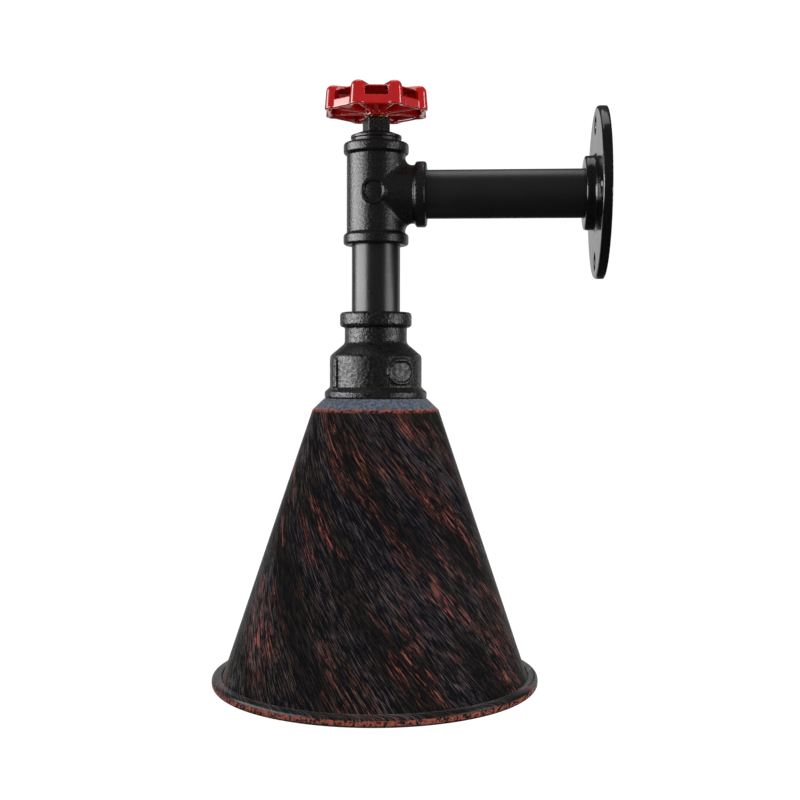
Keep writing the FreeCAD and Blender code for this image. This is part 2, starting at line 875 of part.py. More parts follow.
turn_feature(wheel, "Groove", [
    (0, hub_top),
    (dish_floor, hub_top),
    (dish_radius, roof_top),
    (0, roof_top),
])
hub_sketch = new_sketch(wheel, "XY_Plane", hub_foot)
draw_circle(hub_sketch, 0, 0, dim.wheel_hub_across / 2)
pad(wheel, hub_sketch, dim.wheel_hub_height - dim.wheel_wall / 2)
wheel_hole = new_sketch(wheel, "XY_Plane", hub_foot)
draw_square(wheel_hole, dim.spindle_square + 2 * dim.running_gap)
pocket(wheel, wheel_hole, dim.wheel_hub_height, upward=True)

turned("wheel_washer", ring(wheel_thread_hole, dim.wheel_washer_across / 2, hub_top, washer_top))

wheel_nut = new_body("wheel_nut")
nut_sketch = new_sketch(wheel_nut, "XY_Plane", washer_top)
draw_hexagon(nut_sketch, dim.wheel_nut_flats)
draw_circle(nut_sketch, 0, 0, wheel_thread_hole)
pad(wheel_nut, nut_sketch, dim.wheel_nut)


# Rotary switch: a moulded body held in the plug by its bushing, with a base, a rotor and a contact bridge

switch_radius = cavity_radius - dim.switch_play
chamber_radius = switch_radius - dim.switch_wall
chamber_top = rotor_top + dim.rotor_lift
turned("switch_body", [
    (chamber_radius, chamber_foot),
    (switch_radius, chamber_foot),
    (switch_radius, cavity_top),
    (bushing_radius, cavity_top),
    (bushing_radius, bushing_top),
    (spindle_hole, bushing_top),
    (spindle_hole, chamber_top),
    (chamber_radius, chamber_top),
])

switch_base = new_body("switch_base")
base_sketch = new_sketch(switch_base, "XY_Plane", switch_foot)
draw_circle(base_sketch, 0, 0, switch_radius)
pad(switch_base, base_sketch, dim.switch_base)

rotor_radius = chamber_radius - dim.rotor_play
turned("switch_rotor", ring(spindle_radius + dim.thread_gap, rotor_radius, rotor_foot, rotor_top))

bridge = new_body("switch_bridge")
bridge_sketch = new_sketch(bridge, "XY_Plane", bridge_foot)
half_width = dim.bridge_width / 2
half_length = dim.bridge_length / 2
draw_box(bridge_sketch, (-half_width, -half_length), (half_width, half_length))
pad(bridge, bridge_sketch, dim.bridge_thickness)

terminals = new_body("switch_terminals")
terminals.AllowCompound = True
terminal_foot = switch_foot - dim.terminal_height
terminal_sketch = new_sketch(terminals, "XY_Plane", terminal_foot)
half_terminal = dim.terminal_width / 2
for side in (1, -1):
    place = side * dim.terminal_spread
    draw_box(terminal_sketch, (-half_terminal, place - half_terminal), (half_terminal, place + half_terminal))
pad(terminals, terminal_sketch, dim.terminal_height)

switch_screws = new_body("switch_screws")
switch_screws.AllowCompound = True
screw_sketch = new_sketch(switch_screws, "YZ_Plane", half_terminal)
for side in (1, -1):
    middle = switch_foot - dim.terminal_height / 2
    draw_circle(screw_sketch, side * dim.terminal_spread, middle, dim.terminal_screw_across / 2)
pad(switch_screws, screw_sketch, dim.terminal_screw_head)


# Drop pipe, between the tee and the reducer

drop_top = dim.thread_grip - tee_reach
turned("drop_pipe", ring(pipe_bore, pipe_radius, carrier_top, drop_top))


# Bell reducer: a collar, a neck, a sloping shoulder, a banded bell, two upright ribs and a bare oval badge

collar_radius = socket_radius + dim.reducer_collar_wall
neck_radius = socket_radius + dim.reducer_neck_wall
throat_radius = socket_radius - dim.reducer_socket_step

reducer = new_body("bell_reducer")
turn_body(reducer, -dim.bell_rib_turn)
turn_feature(reducer, "Revolution", [
    (0, reducer_top),
    (collar_radius, reducer_top),
    (collar_radius, collar_foot),
    (neck_radius, collar_foot),
    (neck_radius, neck_foot),
    (bell_radius, slope_foot),
    (bell_radius, bell_foot),
    (band_radius, band_top),
    (band_radius, reducer_foot),
    (0, reducer_foot),
])
soften(reducer, dim.reducer_collar_round, [(collar_radius, reducer_top), (collar_radius, collar_foot)])
soften(reducer, dim.reducer_neck_round, [(neck_radius, neck_foot)])
soften(reducer, dim.reducer_bell_round, [(bell_radius, slope_foot)])
soften(reducer, dim.reducer_band_round, [(band_radius, band_top), (band_radius, reducer_foot)])

badge_base = bell_radius - dim.reducer_bell_wall / 2
badge_level = (slope_foot + bell_foot) / 2
badge_radius = dim.badge_height / 2
badge_end = dim.badge_length / 2 - badge_radius
badge_sketch = new_sketch(reducer, "XZ_Plane", -badge_base)
draw_slot(badge_sketch, -badge_end, badge_end, badge_radius, 0, badge_level)
draw_slot(badge_sketch, -badge_end, badge_end, badge_radius - dim.badge_line, 0, badge_level)
pad(reducer, badge_sketch, dim.reducer_bell_wall, reverse=True)
badge_skin = bell_radius + dim.badge_rise
badge_clear = bell_radius + dim.reducer_bell_wall
turn_feature(reducer, "Groove", ring(badge_skin, badge_clear, bell_foot, slope_foot))

bell_rib_sketch = new_sketch(reducer, "XY_Plane", bell_foot)
half_bell_rib = dim.bell_rib_width / 2
rib_near = bell_radius - dim.reducer_bell_wall / 2
rib_far = bell_radius + dim.bell_rib_rise
draw_box(bell_rib_sketch, (rib_near, -half_bell_rib), (rib_far, half_bell_rib))
bell_rib = pad(reducer, bell_rib_sketch, dim.reducer_bell - dim.reducer_bell_round / 2)
repeat(reducer, bell_rib, BELL_RIB_COUNT)

turn_feature(reducer, "Groove", [
    (0, reducer_top),
    (socket_radius, reducer_top),
    (socket_radius, carrier_foot),
    (throat_radius, carrier_foot),
    (throat_radius, carrier_foot - dim.reducer_throat),
    (bell_bore, slope_foot - dim.reducer_bell_wall),
    (bell_bore, reducer_foot),
    (0, reducer_foot),
])


# Carrier washer, clamped between the drop pipe and the ledge inside the reducer

turned("carrier_washer", ring(hanger_hole, pipe_radius, carrier_foot, carrier_top))
turned("hanger_tube", ring(hanger_bore, hanger_radius, hanger_foot, hanger_top))

hanger_nuts = new_body("hanger_nuts")
hanger_nuts.AllowCompound = True
for nut_foot in (tag_top, carrier_foot - dim.hanger_nut):
    hexagon_sketch = new_sketch(hanger_nuts, "XY_Plane", nut_foot)
    draw_hexagon(hexagon_sketch, dim.hanger_nut_flats)
    draw_circle(hexagon_sketch, 0, 0, hanger_hole)
    pad(hanger_nuts, hexagon_sketch, dim.hanger_nut)

earth_tag = new_body("earth_tag")
tag_sketch = new_sketch(earth_tag, "XY_Plane", carrier_top)
draw_circle(tag_sketch, 0, 0, dim.tag_across / 2)
draw_circle(tag_sketch, 0, 0, hanger_hole)
pad(earth_tag, tag_sketch, dim.tag_thickness)
tongue_sketch = new_sketch(earth_tag, "XY_Plane", carrier_top)
barrel_radius = dim.tag_barrel_across / 2
tongue_start = (hanger_hole + dim.tag_across / 2) / 2
draw_box(tongue_sketch, (tongue_start, -barrel_radius), (dim.tag_barrel_place, barrel_radius))
pad(earth_tag, tongue_sketch, dim.tag_thickness)
barrel_sketch = new_sketch(earth_tag, "XY_Plane", carrier_top)
draw_circle(barrel_sketch, dim.tag_barrel_place, 0, barrel_radius)
pad(earth_tag, barrel_sketch, dim.tag_barrel)


# Lampholder: a cap on the hanger tube, a body screwed on the cap, an insert, a screw shell and contacts

holder_neck = hanger_hole + dim.holder_neck_wall
inner_roof = hanger_foot - dim.holder_cap_wall
turned("lampholder_cap", [
    (hanger_hole, cap_top),
    (hanger_hole, hanger_foot),
    (hanger_bore, hanger_foot),
    (hanger_bore, inner_roof),
    (cap_bore - dim.holder_cap_slope, inner_roof),
    (cap_bore, cap_shoulder - dim.holder_cap_wall),
    (cap_bore, cap_foot),
    (cap_radius, cap_foot),
    (cap_radius, cap_shoulder),
    (cap_radius - dim.holder_cap_slope, cap_roof),
    (holder_neck, cap_roof),
    (holder_neck, cap_top),
])

insert_radius = cap_bore
holder_top = cap_foot + dim.holder_lap
holder_foot = cap_foot - dim.holder_body_drop
holder = turned("lampholder_body", [
    (holder_lap, holder_top),
    (holder_lap, cap_foot),
    (insert_radius + dim.insert_gap, cap_foot),
    (insert_radius + dim.insert_gap, insert_foot),
    (holder_bore, insert_foot),
    (holder_bore, holder_foot),
    (holder_radius, holder_foot),
    (holder_radius, holder_top),
])
soften(holder, dim.holder_rim_round, [(holder_radius, holder_foot)])

leg_radius = dim.post_leg_across / 2
insert = new_body("lampholder_insert")
insert_sketch = new_sketch(insert, "XY_Plane", insert_foot)
draw_circle(insert_sketch, 0, 0, insert_radius)
for leg_place in (dim.neutral_leg_place, -dim.live_leg_place):
    draw_circle(insert_sketch, 0, leg_place, leg_radius + dim.thread_gap)
pad(insert, insert_sketch, dim.insert_thickness)

shell_top = insert_foot
lip_radius = shell_inner - dim.shell_lip
lip_foot = shell_top - dim.shell_wall
turned("screw_shell", [
    (lip_radius, lip_foot),
    (shell_inner, lip_foot),
    (shell_inner, shell_top - dim.shell_drop),
    (shell_outer, shell_top - dim.shell_drop),
    (shell_outer, shell_top),
    (lip_radius, shell_top),
])

contact = new_body("centre_contact")
contact_sketch = new_sketch(contact, "YZ_Plane", -dim.contact_width / 2)
contact_back = -dim.live_leg_place - leg_radius
contact_bend = -dim.live_leg_place / 2
contact_front = dim.live_leg_place / 2
draw_outline(contact_sketch, [
    (contact_back, insert_foot),
    (contact_bend + dim.contact_thickness, insert_foot),
    (contact_front, contact_foot + dim.contact_thickness),
    (contact_front, contact_foot),
    (contact_bend, strip_foot),
    (contact_back, strip_foot),
])
pad(contact, contact_sketch, dim.contact_width)

half_post = dim.post_width / 2
neutral_post_place = dim.neutral_leg_place - half_post + leg_radius
live_post_place = -dim.live_leg_place
posts = new_body("lampholder_posts")
posts.AllowCompound = True
post_sketch = new_sketch(posts, "XY_Plane", cap_foot)
for post_place in (neutral_post_place, live_post_place):
    draw_box(post_sketch, (-half_post, post_place - half_post), (half_post, post_place + half_post))
pad(posts, post_sketch, dim.post_height)
leg_sketch = new_sketch(posts, "XY_Plane", insert_foot)
for leg_place in (dim.neutral_leg_place, -dim.live_leg_place):
    draw_circle(leg_sketch, 0, leg_place, leg_radius)
pad(posts, leg_sketch, dim.insert_thickness)

post_screws = new_body("lampholder_screws")
post_screws.AllowCompound = True
post_screw_sketch = new_sketch(post_screws, "YZ_Plane", half_post)
for post_place in (neutral_post_place, live_post_place):
    draw_circle(post_screw_sketch, post_place, cap_foot + dim.post_height / 2, dim.terminal_screw_across / 2)
pad(post_screws, post_screw_sketch, dim.terminal_screw_head)


# Shade: one spun sheet with a wired bead, clamped under the reducer, and the ring on the lampholder's body

shade_hole = holder_radius + dim.shade_hole_gap
shade_top = band_radius + dim.shade_top_rise
shade_shoulder = shade_top + dim.shade_shoulder_out
shade_foot = shade_shoulder + dim.shade_cone_out
shade_under = reducer_foot - dim.shade_sheet
shoulder_level = reducer_foot - dim.shade_shoulder_drop
foot_level = shoulder_level - dim.shade_cone_drop
bead_in = shade_foot + dim.shade_trough
bead_out = shade_foot + dim.shade_bead_out
bead_top = foot_level + dim.shade_bead_rise
bead_foot = bead_top - dim.shade_bead_across
half_sheet = dim.shade_sheet / 2

shade = turned("shade", [
    (shade_hole, reducer_foot),
    (shade_top, reducer_foot),
    (shade_shoulder, shoulder_level),
    (shade_foot, foot_level),
    (bead_in, bead_top),
    (bead_out, bead_top),
    (bead_out, bead_foot),
    (shade_foot - dim.shade_sheet, bead_foot),
    (shade_foot - dim.shade_sheet, foot_level),
    (shade_shoulder - dim.shade_sheet, shoulder_level - half_sheet),
    (shade_top - half_sheet, shade_under),
    (shade_hole, shade_under),
])
bead_corners = [(bead_out, bead_top), (bead_out, bead_foot), (shade_foot - dim.shade_sheet, bead_foot)]
soften(shade, dim.shade_bead_round, bead_corners)
soften(shade, dim.shade_bead_inner_round, [(bead_in, bead_top)])
soften(shade, dim.shade_shoulder_round, [(shade_shoulder, shoulder_level)])

ring_bore = holder_radius + dim.thread_gap
ring_flange_radius = ring_bore + dim.ring_flange_out
ring_collar_radius = ring_bore + dim.ring_collar_wall
turned("shade_ring", [
    (ring_bore, shade_under),
    (ring_flange_radius, shade_under),
    (ring_flange_radius, shade_under - dim.ring_flange),
    (ring_collar_radius, shade_under - dim.ring_flange),
    (ring_collar_radius, shade_under - dim.ring_height),
    (ring_bore, shade_under - dim.ring_height),
])


# Bulb: tip, insulator, threaded cap, glass envelope, stem and filaments

tip_radius = dim.bulb_tip_across / 2
crown_radius = bulb_cap_bore - dim.bulb_cap_shoulder
cap_plate_foot = bulb_cap_high - dim.bulb_cap_wall
turned("bulb_tip", [
    (0, tip_foot),
    (tip_radius, tip_foot),
    (tip_radius / 2, tip_top),
    (0, tip_top),
])
turned("bulb_insulator", [
    (0, bulb_cap_high),
    (crown_radius, bulb_cap_high),
    (tip_radius, tip_foot),
    (0, tip_foot),
])
turned("bulb_cap", [
    (bulb_cap_bore, bulb_cap_low),
    (bulb_cap_radius, bulb_cap_low),
    (bulb_cap_radius, cap_plate_foot),
    (crown_radius, bulb_cap_high),
    (0, bulb_cap_high),
    (0, cap_plate_foot),
    (bulb_cap_bore, cap_plate_foot),
])

ball_radius = dim.bulb_ball_across / 2
ball_centre = bulb_cap_low - dim.bulb_ball_drop
glass_seat = bulb_cap_bore - dim.thread_gap
glass_neck = glass_seat + dim.bulb_neck_out
neck_level = bulb_cap_low - dim.bulb_neck_drop
glass_top = cap_plate_foot - dim.bulb_glass


def draw_envelope(sketch, inset):
    """Half of the bulb's outline: a seat, a neck, a flank and a ball, all set in by a thickness."""
    seat = glass_seat - inset
    neck = glass_neck - inset
    ball = ball_radius - inset
    top = glass_top - inset
    corners = [(0, top), (seat, top), (seat, bulb_cap_low), (neck, neck_level)]
    points = [FreeCAD.Vector(as_size(a).number, as_size(u).number, 0) for a, u in corners]
    rise = neck_level.number - ball_centre.number
    bearing = math.atan2(rise, neck.number)
    touch_angle = bearing - math.acos(ball.number / math.hypot(rise, neck.number))
    centre = FreeCAD.Vector(0, ball_centre.number, 0)
    touch = centre + FreeCAD.Vector(math.cos(touch_angle), math.sin(touch_angle), 0) * ball.number
    middle_angle = (touch_angle - math.pi / 2) / 2
    middle = centre + FreeCAD.Vector(math.cos(middle_angle), math.sin(middle_angle), 0) * ball.number
    bottom = centre - FreeCAD.Vector(0, ball.number, 0)
    lines = [sketch.addGeometry(Part.LineSegment(a, b)) for a, b in zip(points, points[1:] + [touch])]
    arc = sketch.addGeometry(Part.Arc(touch, middle, bottom))
    close = sketch.addGeometry(Part.LineSegment(bottom, points[0]))
    arc_start, arc_end = (1, 2) if sketch.Geometry[arc].StartPoint.distanceToPoint(touch) < 1 else (2, 1)
    for before, after in zip(lines, lines[1:]):
        sketch.addConstraint(Sketcher.Constraint("Coincident", before, 2, after, 1))
    sketch.addConstraint(Sketcher.Constraint("Tangent", lines[-1], 2, arc, arc_start))
    sketch.addConstraint(Sketcher.Constraint("Coincident", arc, arc_end, close, 1))
    sketch.addConstraint(Sketcher.Constraint("Coincident", close, 2, lines[0], 1))
    for line, corner in zip(lines, corners):
        pin_point(sketch, line, 1, *corner)
    pin_point(sketch, arc, 3, 0, ball_centre)
    sketch.addConstraint(Sketcher.Constraint("PointOnObject", close, 1, -2))
    number = sketch.addConstraint(Sketcher.Constraint("Radius", arc, ball.number))
    bind(sketch, f"Constraints[{number}]", ball)


glass = new_body("bulb_glass")
for kind, inset in (("Revolution", as_size(0)), ("Groove", dim.bulb_glass)):
    envelope_sketch = new_sketch(glass, "XZ_Plane")
    draw_envelope(envelope_sketch, inset)
    envelope = glass.newObject(f"PartDesign::{kind}", "bulb_glass_turn")
    envelope.Profile = envelope_sketch
    envelope.ReferenceAxis = (envelope_sketch, ["V_Axis"])
    envelope.Angle = 360
    envelope_sketch.Visibility = False
    doc.recompute()

stem_foot = bulb_cap_low - dim.bulb_stem_drop
stem_radius = dim.bulb_stem_across / 2
flare_radius = glass_seat - dim.bulb_glass - dim.thread_gap
turned("bulb_stem", [
    (0, stem_foot),
    (stem_radius / 2, stem_foot),
    (stem_radius, bulb_cap_low - dim.bulb_neck_drop / 2),
    (flare_radius, bulb_cap_low),
    (flare_radius, bulb_cap_low + dim.bulb_glass),
    (0, bulb_cap_low + dim.bulb_glass),
])

half_wire = dim.filament_wire / 2
filament_radius = dim.filament_across / 2
spider_foot = stem_foot - dim.filament_gap - dim.filament_wire
filament_foot = spider_foot - dim.filament_length
filament_spots = [
    (dim.filament_place, as_size(0)),
    (as_size(0), dim.filament_place),
    (-dim.filament_place, as_size(0)),
    (as_size(0), -dim.filament_place),
]
filaments = new_body("bulb_filaments")
filaments.AllowCompound = True
filament_sketch = new_sketch(filaments, "XY_Plane", filament_foot)
for across, up in filament_spots:
    draw_circle(filament_sketch, across, up, filament_radius)
pad(filaments, filament_sketch, dim.filament_length)

wires = new_body("bulb_wires")
rod_sketch = new_sketch(wires, "XY_Plane", filament_foot - dim.filament_wire)
draw_circle(rod_sketch, 0, 0, half_wire)
pad(wires, rod_sketch, stem_foot - filament_foot + dim.filament_wire)
spider_reach = dim.filament_place + filament_radius
for level in (spider_foot, filament_foot - dim.filament_wire):
    for wide, deep in ((spider_reach, half_wire), (half_wire, spider_reach)):
        spider_sketch = new_sketch(wires, "XY_Plane", level)
        draw_box(spider_sketch, (-wide, -deep), (wide, deep))
        pad(wires, spider_sketch, dim.filament_wire)


# Leads: insulated wires held inside the pipes, each one tube along its own route.
# Places are measured from the column's axis, so the wall is at column_reach along Y.

lead_radius = dim.lead_across / 2
wall_end = (dim.column_reach - dim.lead_setback).number
arm_near = 25.0
terminal_end = (terminal_foot - dim.lead_touch).number
terminal_place = dim.terminal_spread.number
crown = hanger_top.number
mouth = hanger_foot.number
post_level = (cap_foot + dim.post_height / 2).number
neutral_face = (neutral_post_place - half_post).number
live_face = (live_post_place + half_post).number


def along_arm(share):
    """A distance from the column's axis, as a share of the stretch between the tee and the wall."""
    return arm_near + share * (wall_end - arm_near)


ROUTES = {
    "supply_live_lead": [
        (-4.6, wall_end, -4.2),
        (-4.6, along_arm(0.8), -4.2),
        (-5.2, along_arm(0.56), -3.4),
        (-4.2, along_arm(0.3), -4.8),
        (-4.8, along_arm(0.12), -5.4),
        (-4.0, arm_near, -5.8),
        (-2.4, 13.0, -5.6),
        (0.0, terminal_place, 1.4),
        (0.0, terminal_place, terminal_end),
    ],
    "neutral_lead": [
        (4.4, wall_end, 1.2),
        (4.4, along_arm(0.79), 1.2),
        (5.0, along_arm(0.55), 2.0),
        (4.2, along_arm(0.29), 1.0),
        (4.7, along_arm(0.11), 1.6),
        (4.2, arm_near - 3, 0.6),
        (2.4, 9.4, -1.8),
        (0.8, 4.2, -12.0),
        (0.6, 2.4, -29.0),
        (0.3, 1.8, crown + 23),
        (0.1, 1.5, crown + 2),
        (0.0, 1.55, (2 * crown + 3 * mouth) / 5),
        (0.1, 1.7, mouth + 2),
        (0.0, 2.3, mouth - 3),
        (0.0, 3.9, mouth - 6.8),
        (0.0, neutral_face - 0.9, post_level + 0.2),
    ],
    "switched_live_lead": [
        (0.0, -terminal_place, terminal_end),
        (0.0, -terminal_place, 1.0),
        (-0.8, -4.6, -11.0),
        (-0.6, -3.6, -26.0),
        (0.1, -2.4, -45.0),
        (0.2, -1.8, crown + 8.5),
        (0.0, -1.5, crown - 4.5),
        (-0.15, -1.6, mouth + 10),
        (0.0, -1.65, mouth + 2),
        (0.0, -1.9, mouth - 3),
        (0.0, -2.7, mouth - 6.5),
        (0.0, live_face + 1.12, post_level + 0.3),
    ],
    "earth_lead": [
        (0.6, wall_end, -6.4),
        (0.6, along_arm(0.81), -6.4),
        (1.4, along_arm(0.56), -7.0),
        (0.4, along_arm(0.31), -6.3),
        (1.3, along_arm(0.14), -7.0),
        (1.8, arm_near - 2, -6.6),
        (3.0, 10.5, -6.6),
        (5.0, 6.0, -16.5),
        (6.6, 3.4, -34.0),
        (dim.tag_barrel_place.number, 0.0, crown + 19),
        (dim.tag_barrel_place.number, 0.0, (carrier_top + dim.tag_barrel + dim.lead_touch).number),
    ],
}
ARC_SHARE = 0.45


def rounded_route(label, points):
    """A path of straight runs joined by tangent arcs, as large as the shorter run allows."""
    path = [FreeCAD.Vector(*point) for point in points]
    edges = []
    radii = []
    start = path[0]
    for before, corner, after in zip(path, path[1:], path[2:]):
        back = before - corner
        ahead = after - corner
        reach = ARC_SHARE * min(back.Length, ahead.Length)
        back.normalize()
        ahead.normalize()
        half_turn = (math.pi - back.getAngle(ahead)) / 2
        radius = reach / math.tan(half_turn)
        radii.append(round(radius, 1))
        inward = (back + ahead).normalize()
        middle = corner + inward * (radius / math.cos(half_turn) - radius)
        edges.append(Part.LineSegment(start, corner + back * reach).toShape())
        edges.append(Part.Arc(corner + back * reach, middle, corner + ahead * reach).toShape())
        start = corner + ahead * reach
    edges.append(Part.LineSegment(start, path[-1]).toShape())
    print(label, "bend radii", radii)
    return Part.Wire(edges)


def make_lead(label, points):
    wire = rounded_route(label, points)
    start = FreeCAD.Vector(*points[0])
    heading = FreeCAD.Vector(*points[1]) - start
    radius = lead_radius.number
    section = Part.Wire([Part.Circle(start, heading, radius).toShape()])
    tube = wire.makePipeShell([section], True, False)
    even_volume = math.pi * radius ** 2 * wire.Length
    print(label, "length", round(wire.Length, 1), "volume ratio", round(tube.Volume / even_volume, 4))
    if abs(tube.Volume / even_volume - 1) > UNEVEN_TUBE:
        raise RuntimeError(f"{label} isn't an even tube")
    node = doc.addObject("Part::Feature", label)
    node.Label = label
    node.Shape = tube
    node.Placement = FreeCAD.Placement(FreeCAD.Vector(0, -dim.column_reach.number, 0), FreeCAD.Rotation())
    subparts.append(node)


for name, points in ROUTES.items():
    make_lead(name, points)

# Crimped sleeves on the ends at the wall

sleeves = new_body("lead_sleeves", "arm")
sleeves.AllowCompound = True
sleeve_start = -dim.lead_setback - dim.sleeve_length
sleeve_bore = lead_radius + dim.thread_gap
sleeve_sketch = new_sketch(sleeves, "XY_Plane", sleeve_start)
for name in ("supply_live_lead", "neutral_lead", "earth_lead"):
    across, _, level = ROUTES[name][0]
    draw_circle(sleeve_sketch, across, -level, sleeve_bore)
    draw_circle(sleeve_sketch, across, -level, sleeve_bore + dim.sleeve_wall)
pad(sleeves, sleeve_sketch, dim.sleeve_length)


# Checks, then one file for each sub-part

doc.recompute()
for item in doc.Objects:
    if "Invalid" in item.State or "Error" in item.State:
        raise RuntimeError(f"{item.Label} failed: {item.State}")
for part in subparts:
    if part.Shape.isNull() or not part.Shape.isValid() or not part.Shape.Solids:
        raise RuntimeError(f"{part.Label} has no valid solid")

os.makedirs("parts", exist_ok=True)
for part in subparts:
    part.Shape.exportStep(f"parts/{part.Label}.step")
print(len(subparts), "sub-parts written")
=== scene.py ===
# %% [markdown]
# # A wall lamp made of pipe fittings
#
# The lamp is a cast flange on the wall, a black pipe that reaches out from it, a tee with a red
# handwheel on top, and a short drop to a bell reducer that carries a brushed, antique shade.
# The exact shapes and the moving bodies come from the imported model. This script dresses them:
# it softens the castings, spins the shade, and gives every surface its finish.

# %% Load the frame
import math

import bpy
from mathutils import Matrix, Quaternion, Vector


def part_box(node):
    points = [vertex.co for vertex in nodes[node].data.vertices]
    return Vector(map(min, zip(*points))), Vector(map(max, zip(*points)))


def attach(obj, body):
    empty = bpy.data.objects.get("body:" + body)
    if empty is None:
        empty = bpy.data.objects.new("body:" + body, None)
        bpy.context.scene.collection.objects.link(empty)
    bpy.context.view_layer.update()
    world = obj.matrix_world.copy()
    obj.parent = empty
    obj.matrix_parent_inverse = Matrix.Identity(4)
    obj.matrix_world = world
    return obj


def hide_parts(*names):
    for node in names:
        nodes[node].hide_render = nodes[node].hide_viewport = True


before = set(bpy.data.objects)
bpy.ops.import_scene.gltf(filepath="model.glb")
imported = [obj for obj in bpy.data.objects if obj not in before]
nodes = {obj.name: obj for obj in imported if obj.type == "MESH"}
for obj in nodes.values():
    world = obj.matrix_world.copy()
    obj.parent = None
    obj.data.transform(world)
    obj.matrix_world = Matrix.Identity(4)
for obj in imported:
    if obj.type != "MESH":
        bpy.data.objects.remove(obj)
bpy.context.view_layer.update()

# %% [markdown]
# The frame is in metres, and a lamp is easier to think about in millimetres, so one value
# turns one into the other. The column is the upright line through the handwheel, the tee
# and the shade. It stands well in front of the wall, so its place is read from the shade's box.

# %% Places read from the frame
MM = 0.001
shade_low, shade_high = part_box("shade")
column = Vector(((shade_low[0] + shade_high[0]) / 2, (shade_low[1] + shade_high[1]) / 2, 0.0))
print("column at", [round(value / MM, 2) for value in column])

# %% [markdown]
# Operators work on whatever is selected, and the frame arrives with its nodes selected.
# So each step starts from one object chosen on purpose. A finished piece keeps its place in
# its mesh, so its own location, turn and scale are applied at the end.

# %% Helpers for choosing and finishing a piece
MERGE_DISTANCE = 0.002 * MM
SMOOTH_ANGLE = math.radians(40)


def choose(piece):
    """Selects one object alone and makes it active."""
    if bpy.context.mode != "OBJECT":
        bpy.ops.object.mode_set(mode="OBJECT")
    bpy.ops.object.select_all(action="DESELECT")
    piece.select_set(True)
    bpy.context.view_layer.objects.active = piece


def settle(piece):
    """Puts a piece's place into its mesh and turns its faces outwards."""
    choose(piece)
    bpy.ops.object.transform_apply(location=True, rotation=True, scale=True)
    bpy.ops.object.mode_set(mode="EDIT")
    bpy.ops.mesh.select_all(action="SELECT")
    bpy.ops.mesh.remove_doubles(threshold=MERGE_DISTANCE)
    bpy.ops.mesh.normals_make_consistent(inside=False)
    bpy.ops.object.mode_set(mode="OBJECT")
    bpy.ops.object.shade_smooth_by_angle(angle=SMOOTH_ANGLE)


def apply_modifier(piece, kind, **settings):
    """Adds a modifier with its settings and applies it at once."""
    choose(piece)
    modifier = piece.modifiers.new(kind.lower(), kind)
    for name, value in settings.items():
        setattr(modifier, name, value)
    bpy.ops.object.modifier_apply(modifier=modifier.name)


print("helpers ready")

# %% [markdown]
# ## Finishes
#
# Every finish is drawn by shader nodes. Four small helpers place them: one adds a node, one
# does a step of arithmetic, one stretches a range and one mixes two colours.

# %% Helpers for shader nodes
def add_node(tree, kind, place, **sockets):
    """Adds a shader node and sets its named inputs."""
    node = tree.nodes.new(kind)
    node.location = place
    for name, value in sockets.items():
        node.inputs[name.replace("_", " ")].default_value = value
    return node


def math_node(tree, operation, place, first, second=None):
    """One step of arithmetic. An input is a number or another node's output."""
    node = add_node(tree, "ShaderNodeMath", place)
    node.operation = operation
    for index, value in enumerate((first, second)):
        if value is None:
            continue
        if isinstance(value, (int, float)):
            node.inputs[index].default_value = value
        else:
            tree.links.new(value, node.inputs[index])
    return node.outputs[0]


def ramp(tree, source, place, low, high, to_low=0.0, to_high=1.0):
    """Stretches low to high of a value to another range, and holds it there beyond them."""
    node = add_node(tree, "ShaderNodeMapRange", place)
    node.inputs["From Min"].default_value = low
    node.inputs["From Max"].default_value = high
    node.inputs["To Min"].default_value = to_low
    node.inputs["To Max"].default_value = to_high
    tree.links.new(source, node.inputs["Value"])
    return node.outputs["Result"]


def blend_colours(tree, place, factor, first, second):
    """Mixes two colours. Each is three numbers or another node's output."""
    node = add_node(tree, "ShaderNodeMix", place)
    node.data_type = "RGBA"
    tree.links.new(factor, node.inputs["Factor"])
    for name, colour in (("A", first), ("B", second)):
        if isinstance(colour, tuple):
            node.inputs[name].default_value = (*colour, 1.0)
        else:
            tree.links.new(colour, node.inputs[name])
    return node.outputs["Result"]


print("shader helpers ready")

# %% [markdown]
# The castings and the paints share one effect: the grain that sand leaves on iron. A node
# group makes it once, and each material sets how coarse it is. It reads Object coordinates,
# so the grain has the same size on every piece. The pits are the low spots of the grain.

# %% The sand grain shared by the castings
WEAR_SCALE = 45.0
PIT_FADE = (0.44, 0.55)


